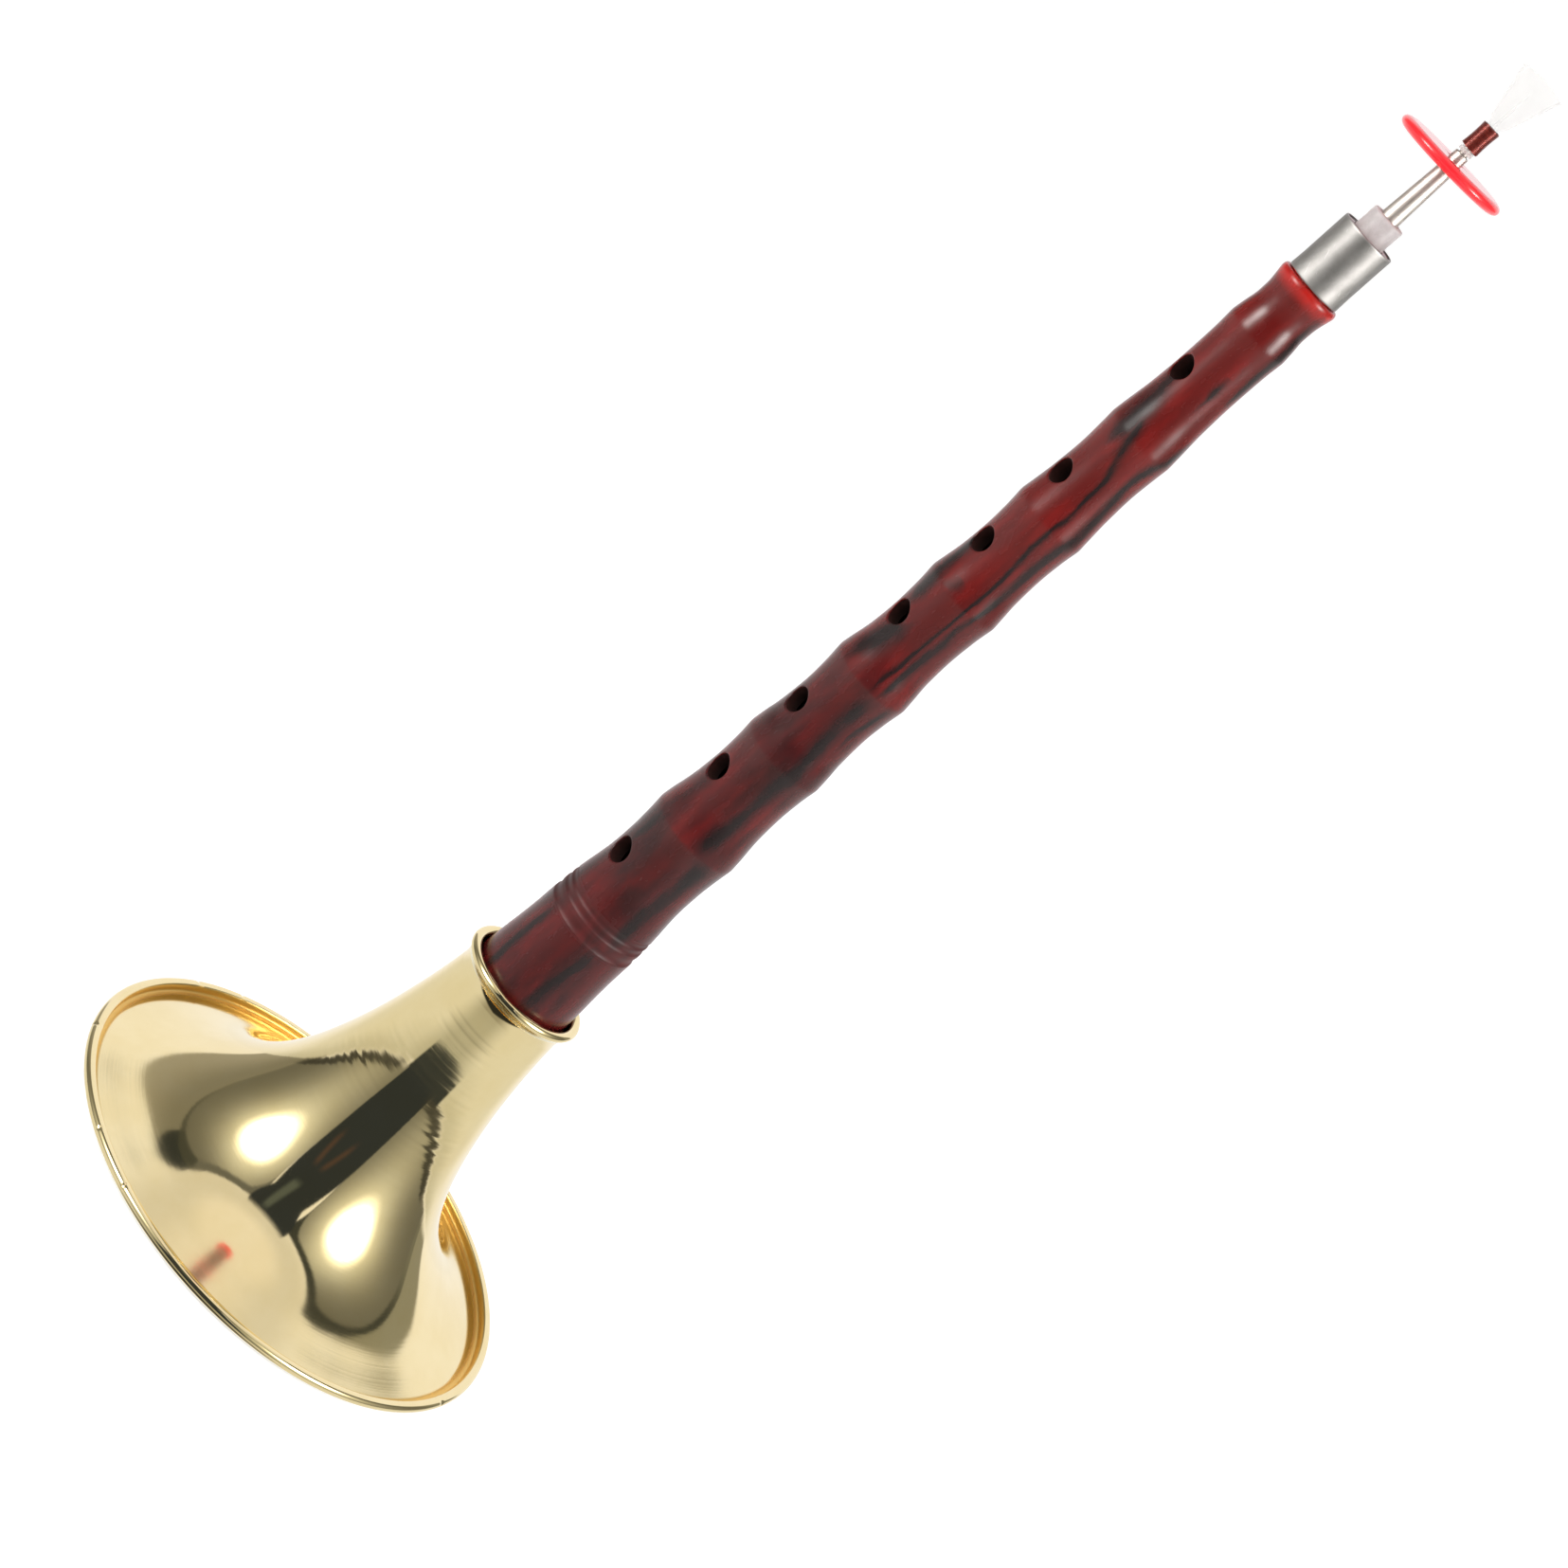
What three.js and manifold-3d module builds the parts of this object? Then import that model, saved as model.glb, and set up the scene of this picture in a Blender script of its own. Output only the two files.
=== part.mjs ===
// Suona: a conical double-reed pipe with a spun metal bell.
// Millimetres, +Z up. The instrument stands on the mouth of its bell: the origin is the
// centre of the bell's mouth, +Z runs up the bore axis to the reed, and the seven front
// finger holes face -Y (the thumb hole faces +Y).
import * as THREE from 'three';
import { mergeVertices } from 'three/addons/utils/BufferGeometryUtils.js';
import Module from 'manifold-3d';

const wasm = await Module();
wasm.setup();

// ---------------------------------------------------------------- driving dimensions
const GAP = 0.3;                    // clearance between neighbouring pieces

// bell
const BELL_SEGMENTS = 48;
const SHEET = 0.8;                  // thickness of the spun sheet
const RIM_R = 70.7;                 // outer radius of the rim
const RIM_ROLL = 1.4;               // the edge is turned up and rolled to this round section
const RIM_ROLL_Z = 2.1;             // height of the roll's centre
const RIM_FOOT_R0 = 65.9;           // flat ring that it stands on, under the valley
const RIM_FOOT_R1 = 67.9;           // between the flare and the roll
// outer face of the flare, [radius, z], from the rim's valley up to the neck
const FLARE = [
  [66.5, 0.95], [63.3, 2.35], [59.8, 3.95], [55.2, 6.0], [51.2, 8.0], [47.2, 10.4], [43.5, 13.0],
  [40.1, 15.9], [37.0, 19.0], [34.2, 22.5], [31.85, 26.0], [28.3, 33.0], [25.7, 40.0],
  [23.6, 47.0], [21.8, 54.0], [20.3, 61.0], [19.1, 68.0], [18.05, 75.0], [17.25, 82.0],
  [16.85, 86.5], [16.86, 88.2],
];
const NECK_LIP = [[17.1, 89.3], [17.45, 90.3], [18.0, 91.2]];    // the neck turns out to its bead
const BEAD_R = 17.4;                // centre of the neck bead's round section
const BEAD_Z = 92.55;
const BEAD_ROUND = 1.38;

// pipe
const PIPE_SEGMENTS = 32;
// outer face above the bell, [z, radius]: plain foot, turned ring lines, seven bamboo joints,
// and the flared top rim
const PIPE = [
  [90.0, 15.4], [98.7, 14.95], [105.0, 14.5], [111.5, 14.2], [118.2, 14.02],
  [119.7, 13.6], [121.7, 13.84], [122.8, 13.45], [124.1, 13.7], [125.1, 13.3],
  [125.9, 13.52], [128.3, 13.3], [132.5, 12.8],
  [136.6, 12.42], [140.8, 12.28], [144.9, 12.3], [149.0, 12.5], [153.1, 12.82], [155.7, 13.08],
  [159.3, 12.68], [163.3, 12.1], [167.4, 11.66], [175.5, 11.35], [181.5, 11.55], [187.0, 12.07],
  [191.5, 11.6], [195.5, 11.06], [205.4, 10.6], [211.3, 10.88], [217.5, 11.52],
  [221.1, 11.06], [226.9, 10.29], [234.6, 9.98], [242.3, 10.25], [248.5, 10.87],
  [251.8, 10.45], [257.5, 9.83], [265.1, 9.56], [271.5, 9.8], [277.3, 10.36],
  [281.9, 9.89], [287.4, 9.44], [295.7, 9.14], [302.1, 9.4], [306.7, 9.7],
  [311.2, 9.32], [318.5, 8.7], [329.2, 8.38], [337.5, 8.45], [343.6, 8.78],
  [347.0, 8.4], [350.8, 7.93], [353.5, 7.97], [356.5, 8.35], [358.4, 8.72], [359.4, 8.78],
  [360.0, 8.6], [360.4, 8.1],
];
const TENON_R = 15.3;               // foot that enters the bell's neck
const TENON_Z0 = 66.0;
const CORK_SEAT_R = 14.3;
const CORK_Z0 = 78.6, CORK_Z1 = 87.6;
const CORK_R = 15.6;
const TOP_TENON_R = 6.8, TOP_TENON_Z = 377.6;     // top tenon, inside the metal sleeve
const SOCKET_R = 4.9, SOCKET_Z = 362.2;           // socket for the plug
const BORE_TOP_R = 3.4, BORE_FOOT_R = 9.8;        // conical bore

// finger holes: [z, radius]; they face -Y, the thumb hole faces +Y
const FRONT_HOLES = [
  [140.1, 3.75], [174.2, 3.75], [201.1, 3.55], [235.35, 3.55], [263.0, 3.55],
  [288.3, 3.5], [326.25, 3.5],
];
const THUMB_HOLE = [312.0, 3.4];

// metal sleeve round the pipe's top tenon
const SLEEVE_Z0 = 360.75, SLEEVE_Z1 = 377.9;
const SLEEVE_R = 7.7, SLEEVE_IN_R = 7.1;

// plug and staple
const PLUG_R = 4.6, PLUG_Z0 = 362.5, PLUG_Z1 = 384.0;
const STAPLE_TAPER = 0.031;         // radius lost per millimetre of height
const STAPLE_R384 = 2.6;            // radius where it leaves the plug
const STAPLE_Z0 = 363.0;
const STAPLE_SHOULDER_Z = 405.7;    // the reed stops here
const STAPLE_TIP_R = 1.2, STAPLE_TIP_Z = 413.5;
const STAPLE_WALL = 0.42;
const stapleR = (z) => STAPLE_R384 + (384 - z) * STAPLE_TAPER;

// lip disc
const DISC_R = 15.7, DISC_HALF = 1.5, DISC_BORE_R = 2.42, DISC_Z = 402.2;
const DISC_LEAN_AXIS = [0.0147, -0.0462, 0];      // it sits a little askew on the taper
const DISC_LEAN = 0.0484;

// reed and its winding
const REED_Z0 = 406.2, REED_Z1 = 430.0;
const REED_TUBE_R = 1.95, REED_BOUND_R = 1.75, REED_IN_R = 1.45;
const REED_TIP_HALF_WIDTH = 6.35, REED_TIP_HALF = 0.45, REED_SLIT_HALF = 0.15;
const REED_TURN = THREE.MathUtils.degToRad(52.8); // turn of the blade's width from +X
const WIND_Z0 = 407.5, WIND_Z1 = 414.6, WIND_R = 2.57, WIND_WAIST_R = 2.45, WIND_IN_R = 2.0;

// ---------------------------------------------------------------- helpers
function signedVolume(geometry) {
  const p = geometry.attributes.position;
  const index = geometry.index;
  const a = new THREE.Vector3(), b = new THREE.Vector3(), c = new THREE.Vector3();
  let volume = 0;
  for (let i = 0; i < index.count; i += 3) {
    a.fromBufferAttribute(p, index.getX(i));
    b.fromBufferAttribute(p, index.getX(i + 1));
    c.fromBufferAttribute(p, index.getX(i + 2));
    volume += a.dot(b.cross(c)) / 6;
  }
  return volume;
}

// Turns a closed [radius, z] outline round the Z axis.
function turned(outline, segments) {
  const make = (points) => {
    const ring = points.map(([r, z]) => new THREE.Vector2(r, z));
    ring.push(ring[0].clone());
    const g = new THREE.LatheGeometry(ring, segments);
    g.rotateX(Math.PI / 2);
    return g;
  };
  let g = make(outline);
  if (signedVolume(g) < 0) g = make([...outline].reverse());
  return g;
}

function welded(geometry) {
  const g = geometry.clone();
  g.deleteAttribute('normal');
  g.deleteAttribute('uv');
  return mergeVertices(g, 1e-4);
}

function solid(geometry) {
  const g = welded(geometry);
  return new wasm.Manifold(new wasm.Mesh({
    numProp: 3,
    vertProperties: new Float32Array(g.attributes.position.array),
    triVerts: new Uint32Array(g.index.array),
  }));
}

function geometryOf(manifold) {
  const m = manifold.getMesh();
  const g = new THREE.BufferGeometry();
  g.setAttribute('position', new THREE.BufferAttribute(new Float32Array(m.vertProperties), 3));
  g.setIndex(new THREE.BufferAttribute(new Uint32Array(m.triVerts), 1));
  g.computeVertexNormals();
  return g;
}

function finish(color, roughness, metalness, extra = {}) {
  return new THREE.MeshStandardMaterial({ color, roughness, metalness, ...extra });
}

function piece(name, geometry, material) {
  const mesh = new THREE.Mesh(geometry, material);
  mesh.name = name;
  return mesh;
}

// points of an arc in the [radius, z] plane
function arc(cr, cz, radius, from, to, steps) {
  const points = [];
  for (let i = 0; i <= steps; i++) {
    const t = THREE.MathUtils.degToRad(from + (to - from) * i / steps);
    points.push([cr + radius * Math.cos(t), cz + radius * Math.sin(t)]);
  }
  return points;
}

// ---------------------------------------------------------------- bell
function bellGeometry() {
  const rim = [
    [RIM_FOOT_R0, 0], [RIM_FOOT_R1, 0], [RIM_FOOT_R1 + 0.9, 0.42],
    ...arc(RIM_R - RIM_ROLL, RIM_ROLL_Z, RIM_ROLL, -75, 0, 3),
    ...arc(RIM_R - RIM_ROLL, RIM_ROLL_Z, RIM_ROLL, 0, 195, 7).slice(1),
    [RIM_R - 2 * RIM_ROLL - 0.2, 1.35], [RIM_R - 2 * RIM_ROLL - 0.6, 1.02],
  ];
  const bead = arc(BEAD_R, BEAD_Z, BEAD_ROUND, -30, 180, 7);
  // inner face of the sheet, from the neck down to the mouth
  const inside = [];
  for (let i = FLARE.length - 1; i >= 0; i--) {
    const [r, z] = FLARE[i];
    const before = FLARE[Math.max(i - 1, 0)], after = FLARE[Math.min(i + 1, FLARE.length - 1)];
    const dr = after[0] - before[0], dz = after[1] - before[1], l = Math.hypot(dr, dz);
    inside.push([r - SHEET * dz / l, z + SHEET * dr / l]);
  }
  const kept = inside.filter((_, i) => i % 2 === 0 && i < inside.length - 1);
  return turned([...rim, ...FLARE, ...NECK_LIP, ...bead, [BEAD_R - BEAD_ROUND, 91.0], ...kept], BELL_SEGMENTS);
}

// ---------------------------------------------------------------- pipe
function pipeGeometry() {
  const outside = [
    [BORE_FOOT_R + 0.6, TENON_Z0], [TENON_R - 0.5, TENON_Z0], [TENON_R, TENON_Z0 + 0.6],
    [TENON_R, CORK_Z0 - GAP], [CORK_SEAT_R, CORK_Z0 - GAP], [CORK_SEAT_R, CORK_Z1 + GAP],
    [TENON_R, CORK_Z1 + GAP],
    ...PIPE.map(([z, r]) => [r, z]),
    [TOP_TENON_R, 360.4], [TOP_TENON_R, TOP_TENON_Z],
  ];
  const inside = [
    [SOCKET_R, TOP_TENON_Z], [SOCKET_R, SOCKET_Z], [BORE_TOP_R, SOCKET_Z],
    [BORE_FOOT_R, TENON_Z0 + 1.0],
  ];
  let body = solid(turned([...outside, ...inside], PIPE_SEGMENTS));
  const drill = (z, radius, toward) => {
    const bit = new THREE.CylinderGeometry(radius, radius, 20, 16);
    bit.translate(0, toward * 10, z * 0);
    bit.translate(0, 0, z);
    body = body.subtract(solid(bit));
  };
  for (const [z, radius] of FRONT_HOLES) drill(z, radius, -1);
  drill(THUMB_HOLE[0], THUMB_HOLE[1], 1);
  return geometryOf(body);
}

function corkGeometry() {
  const inner = CORK_SEAT_R + GAP;
  return turned([
    [inner, CORK_Z0], [CORK_R - 0.25, CORK_Z0], [CORK_R, CORK_Z0 + 0.4],
    [CORK_R, CORK_Z1 - 0.5], [CORK_R - 0.3, CORK_Z1], [inner, CORK_Z1],
  ], PIPE_SEGMENTS);
}

function sleeveGeometry() {
  return turned([
    [SLEEVE_IN_R, SLEEVE_Z0], [SLEEVE_R + 0.1, SLEEVE_Z0], [SLEEVE_R, SLEEVE_Z0 + 3],
    [SLEEVE_R - 0.04, SLEEVE_Z1 - 1.0], [SLEEVE_R - 0.14, SLEEVE_Z1 - 0.4],
    [SLEEVE_R - 0.36, SLEEVE_Z1], [SLEEVE_IN_R, SLEEVE_Z1],
  ], PIPE_SEGMENTS);
}

// ---------------------------------------------------------------- plug, staple, disc
function plugGeometry() {
  const boreAt = (z) => stapleR(z) + GAP;
  return turned([
    [boreAt(PLUG_Z0), PLUG_Z0], [PLUG_R - 0.4, PLUG_Z0], [PLUG_R, PLUG_Z0 + 0.5],
    [PLUG_R, PLUG_Z1 - 0.6], [PLUG_R - 0.5, PLUG_Z1], [boreAt(PLUG_Z1), PLUG_Z1],
  ], 28);
}

function stapleGeometry() {
  const step = STAPLE_SHOULDER_Z;
  return turned([
    [stapleR(STAPLE_Z0) - STAPLE_WALL, STAPLE_Z0], [stapleR(STAPLE_Z0), STAPLE_Z0],
    [stapleR(384), 384], [stapleR(step), step], [STAPLE_TIP_R, step],
    [STAPLE_TIP_R - 0.1, STAPLE_TIP_Z], [STAPLE_TIP_R - STAPLE_WALL, STAPLE_TIP_Z],
    [STAPLE_TIP_R - STAPLE_WALL, step - 1.5],
  ], 24);
}

function discGeometry() {
  const h = DISC_HALF;
  return turned([
    [DISC_BORE_R, -h], [DISC_R - h * 1.7, -h],
    [DISC_R - h * 0.75, -h * 0.86], [DISC_R - h * 0.2, -h * 0.5], [DISC_R, 0],
    [DISC_R - h * 0.2, h * 0.5], [DISC_R - h * 0.75, h * 0.86],
    [DISC_R - h * 1.7, h], [DISC_BORE_R, h],
  ], 40);
}

// ---------------------------------------------------------------- reed
// One tube, round where it is bound and pressed flat towards its tip. The outline is
// turned with its radius as a code, then every vertex is moved to the section it stands for.
function reedGeometry() {
  const blade0 = 415.0;
  const outerZ = [REED_Z0, 407.2, 407.5, 414.6, blade0, 417, 419.5, 422, 424.5, 427, REED_Z1];
  const innerZ = [REED_Z1, 427, 424.5, 422, 419.5, 417, blade0, 414.6, 409, REED_Z0];
  const g = turned([...outerZ.map((z) => [2, z]), ...innerZ.map((z) => [1, z])], 24);
  const p = g.attributes.position;
  const v = new THREE.Vector3();
  for (let i = 0; i < p.count; i++) {
    v.fromBufferAttribute(p, i);
    const outer = Math.hypot(v.x, v.y) > 1.5;
    const angle = Math.atan2(v.y, v.x);
    let w, h, z = v.z;
    if (z < 414.8) {
      const r = outer ? (z < 407.3 ? REED_TUBE_R : REED_BOUND_R) : REED_IN_R;
      w = h = r;
    } else {
      const t = (z - blade0) / (REED_Z1 - blade0);
      w = 2.15 + (REED_TIP_HALF_WIDTH - 2.15) * t;
      h = REED_BOUND_R + (REED_TIP_HALF - REED_BOUND_R) * Math.pow(t, 0.8);
      if (!outer) {
        w -= 0.4;
        h = REED_IN_R + (REED_SLIT_HALF - REED_IN_R) * Math.pow(t, 0.8);
      }
      z -= 0.8 * t * t * Math.cos(angle) ** 2;      // the tip is a shallow arc
    }
    p.setXYZ(i, w * Math.cos(angle), h * Math.sin(angle), z);
  }
  g.rotateZ(REED_TURN);
  return g;
}

function windingGeometry() {
  const mid = (WIND_Z0 + WIND_Z1) / 2;
  return turned([
    [WIND_IN_R, WIND_Z0], [WIND_R - 0.12, WIND_Z0], [WIND_R, WIND_Z0 + 0.5],
    [WIND_WAIST_R, mid], [WIND_R - 0.03, WIND_Z1 - 0.4], [WIND_R - 0.15, WIND_Z1],
    [WIND_IN_R, WIND_Z1],
  ], 28);
}

// ---------------------------------------------------------------- the assembly
const group = new THREE.Group();

const pipeAssembly = new THREE.Group();
pipeAssembly.add(
  piece('pipe', pipeGeometry(), finish('#4a1010', 0.32, 0)),
  piece('tenon_cork', corkGeometry(), finish('#b58a5a', 0.85, 0)),
  piece('top_sleeve', sleeveGeometry(), finish('#a9a7a4', 0.38, 1)),
);

const disc = piece('lip_disc', discGeometry(), finish('#e8141f', 0.25, 0));
disc.position.set(0, 0, DISC_Z);
disc.quaternion.setFromAxisAngle(new THREE.Vector3(...DISC_LEAN_AXIS).normalize(), DISC_LEAN);

const reedAssembly = new THREE.Group();
reedAssembly.add(
  piece('reed', reedGeometry(), finish('#f6f3ee', 0.2, 0, { transparent: true, opacity: 0.4 })),
  piece('reed_winding', windingGeometry(), finish('#6b2218', 0.35, 0.6)),
);

group.add(
  piece('bell', bellGeometry(), finish('#dcc889', 0.12, 1)),
  pipeAssembly,
  piece('staple_plug', plugGeometry(), finish('#b3a7a6', 0.45, 0)),
  piece('staple', stapleGeometry(), finish('#a79f97', 0.28, 1)),
  disc,
  reedAssembly,
);

export default group;
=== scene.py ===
"""Suona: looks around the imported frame. Metres, +Z up the bore axis, front finger holes face -Y."""
import math

import bmesh
import bpy
import numpy as np
from mathutils import Matrix, Quaternion, Vector


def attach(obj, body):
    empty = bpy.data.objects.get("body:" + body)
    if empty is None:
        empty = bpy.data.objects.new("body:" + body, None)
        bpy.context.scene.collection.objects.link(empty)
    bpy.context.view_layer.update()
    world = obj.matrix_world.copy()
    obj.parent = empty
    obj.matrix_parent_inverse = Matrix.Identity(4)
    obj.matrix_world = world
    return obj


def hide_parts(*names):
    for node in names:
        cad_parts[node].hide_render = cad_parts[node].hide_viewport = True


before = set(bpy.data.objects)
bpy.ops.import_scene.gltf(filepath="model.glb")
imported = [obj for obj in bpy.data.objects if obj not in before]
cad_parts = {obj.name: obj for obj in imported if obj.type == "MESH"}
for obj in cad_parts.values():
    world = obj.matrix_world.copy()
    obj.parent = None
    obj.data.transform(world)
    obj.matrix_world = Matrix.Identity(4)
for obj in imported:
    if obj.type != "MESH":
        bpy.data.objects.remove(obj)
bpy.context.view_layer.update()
MM = 0.001

# the viewer's side of the instrument, and the direction at right angles to it
V = Vector((0.7965, -0.6046, 0.0))
U = Vector((-0.6046, -0.7965, 0.0))
Z = Vector((0.0, 0.0, 1.0))
VIEW_AZ = -37.2                      # azimuth of V, degrees

# ------------------------------------------------------------------ camera
def make_camera():
    tilt, roll = math.radians(18.7), math.radians(41.40)
    distance, z0, aside = 843.30, 181.656, 5.37
    xc = Z * math.cos(tilt) - V * math.sin(tilt)
    yc = U
    back = Z * math.sin(tilt) + V * math.cos(tilt)
    x = xc * math.cos(roll) - yc * math.sin(roll)
    y = xc * math.sin(roll) + yc * math.cos(roll)
    at = (Z * z0 - U * aside + back * distance) * MM
    data = bpy.data.cameras.new("camera")
    data.lens, data.sensor_width, data.sensor_fit = 77.22, 36.0, "AUTO"
    data.clip_start, data.clip_end = 0.01, 200.0
    cam = bpy.data.objects.new("camera", data)
    m = Matrix((x, y, back)).transposed().to_4x4()
    m.translation = at
    cam.matrix_world = m
    bpy.context.scene.collection.objects.link(cam)
    bpy.context.scene.camera = cam


make_camera()
scene = bpy.context.scene
scene.view_settings.view_transform = "Standard"
scene.view_settings.look = "None"
scene.view_settings.exposure = 0.0
scene.view_settings.gamma = 1.0


# ------------------------------------------------------------------ node helpers
class S:
    """A number flowing through a node tree."""

    def __init__(self, tree, socket):
        self.t, self.s = tree, socket

    def _op(self, op, *others):
        n = self.t.nodes.new("ShaderNodeMath")
        n.operation = op
        for i, v in enumerate((self, *others)):
            if isinstance(v, S):
                self.t.links.new(v.s, n.inputs[i])
            else:
                n.inputs[i].default_value = v
        return S(self.t, n.outputs[0])

    def __add__(self, o): return self._op("ADD", o)
    def __sub__(self, o): return self._op("SUBTRACT", o)
    def __mul__(self, o): return self._op("MULTIPLY", o)
    def __truediv__(self, o): return self._op("DIVIDE", o)
    def abs(self): return self._op("ABSOLUTE")
    def max(self, o): return self._op("MAXIMUM", o)
    def min(self, o): return self._op("MINIMUM", o)
    def power(self, o): return self._op("POWER", o)
    def inv(self): return self * -1.0 + 1.0
    def atan2(self, o): return self._op("ARCTAN2", o)
    def asin(self): return self._op("ARCSINE")
    def sin(self): return self._op("SINE")

    def ramp(self, a, b, lo=0.0, hi=1.0, smooth=True):
        n = self.t.nodes.new("ShaderNodeMapRange")
        n.interpolation_type = "SMOOTHSTEP" if smooth else "LINEAR"
        n.clamp = True
        self.t.links.new(self.s, n.inputs["Value"])
        n.inputs["From Min"].default_value, n.inputs["From Max"].default_value = a, b
        n.inputs["To Min"].default_value, n.inputs["To Max"].default_value = lo, hi
        return S(self.t, n.outputs["Result"])

    def window(self, lo, hi, soft, soft_hi=None):
        """1 between lo and hi, fading over soft on each side."""
        soft_hi = soft if soft_hi is None else soft_hi
        return self.ramp(lo - soft, lo + soft) * self.ramp(hi - soft_hi, hi + soft_hi, 1.0, 0.0)


def curve(value, points):
    """A smooth curve through (x, y) points, both from 0 to 1."""
    n = value.t.nodes.new("ShaderNodeFloatCurve")
    c = n.mapping.curves[0]
    c.points[0].location, c.points[1].location = points[0], points[-1]
    for p in points[1:-1]:
        c.points.new(*p)
    n.mapping.update()
    value.t.links.new(value.s, n.inputs["Value"])
    return S(value.t, n.outputs["Value"])


def colour(tree, rgb):
    n = tree.nodes.new("ShaderNodeRGB")
    n.outputs[0].default_value = (*rgb, 1.0)
    return n.outputs[0]


def mix(tree, factor, a, b):
    """Colour a where the factor is 0, b where it is 1. Each is a socket or three numbers."""
    n = tree.nodes.new("ShaderNodeMix")
    n.data_type = "RGBA"
    ins = {"f": n.inputs[0], "a": n.inputs[6], "b": n.inputs[7]}
    if isinstance(factor, S):
        tree.links.new(factor.s, ins["f"])
    else:
        ins["f"].default_value = factor
    for k, v in (("a", a), ("b", b)):
        if isinstance(v, (tuple, list)):
            ins[k].default_value = (*v, 1.0)
        else:
            tree.links.new(v, ins[k])
    return n.outputs[2]


def place(tree):
    """Object-space x, y, z in millimetres, and the vector."""
    co = tree.nodes.new("ShaderNodeTexCoord")
    scale = tree.nodes.new("ShaderNodeVectorMath")
    scale.operation = "SCALE"
    tree.links.new(co.outputs["Object"], scale.inputs[0])
    scale.inputs["Scale"].default_value = 1000.0
    parts = tree.nodes.new("ShaderNodeSeparateXYZ")
    tree.links.new(scale.outputs[0], parts.inputs[0])
    return [S(tree, parts.outputs[i]) for i in range(3)]


def vector(tree, x, y, z):
    n = tree.nodes.new("ShaderNodeCombineXYZ")
    for i, v in enumerate((x, y, z)):
        if isinstance(v, S):
            tree.links.new(v.s, n.inputs[i])
        else:
            n.inputs[i].default_value = v
    return n.outputs[0]


def noise(tree, at, scale=1.0, detail=3.0, rough=0.5, distortion=0.0):
    n = tree.nodes.new("ShaderNodeTexNoise")
    tree.links.new(at, n.inputs["Vector"])
    n.inputs["Scale"].default_value = scale
    n.inputs["Detail"].default_value = detail
    n.inputs["Roughness"].default_value = rough
    n.inputs["Distortion"].default_value = distortion
    return S(tree, n.outputs["Fac"])


def material(name):
    m = bpy.data.materials.new(name)
    m.use_nodes = True
    tree = m.node_tree
    return m, tree, tree.nodes["Principled BSDF"]


def bump(tree, shader, height, strength, distance):
    """Raises the surface by height, in units of distance millimetres."""
    n = tree.nodes.new("ShaderNodeBump")
    n.inputs["Strength"].default_value = strength
    n.inputs["Distance"].default_value = distance * MM
    tree.links.new(height.s, n.inputs["Height"])
    tree.links.new(n.outputs[0], shader.inputs["Normal"])


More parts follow.
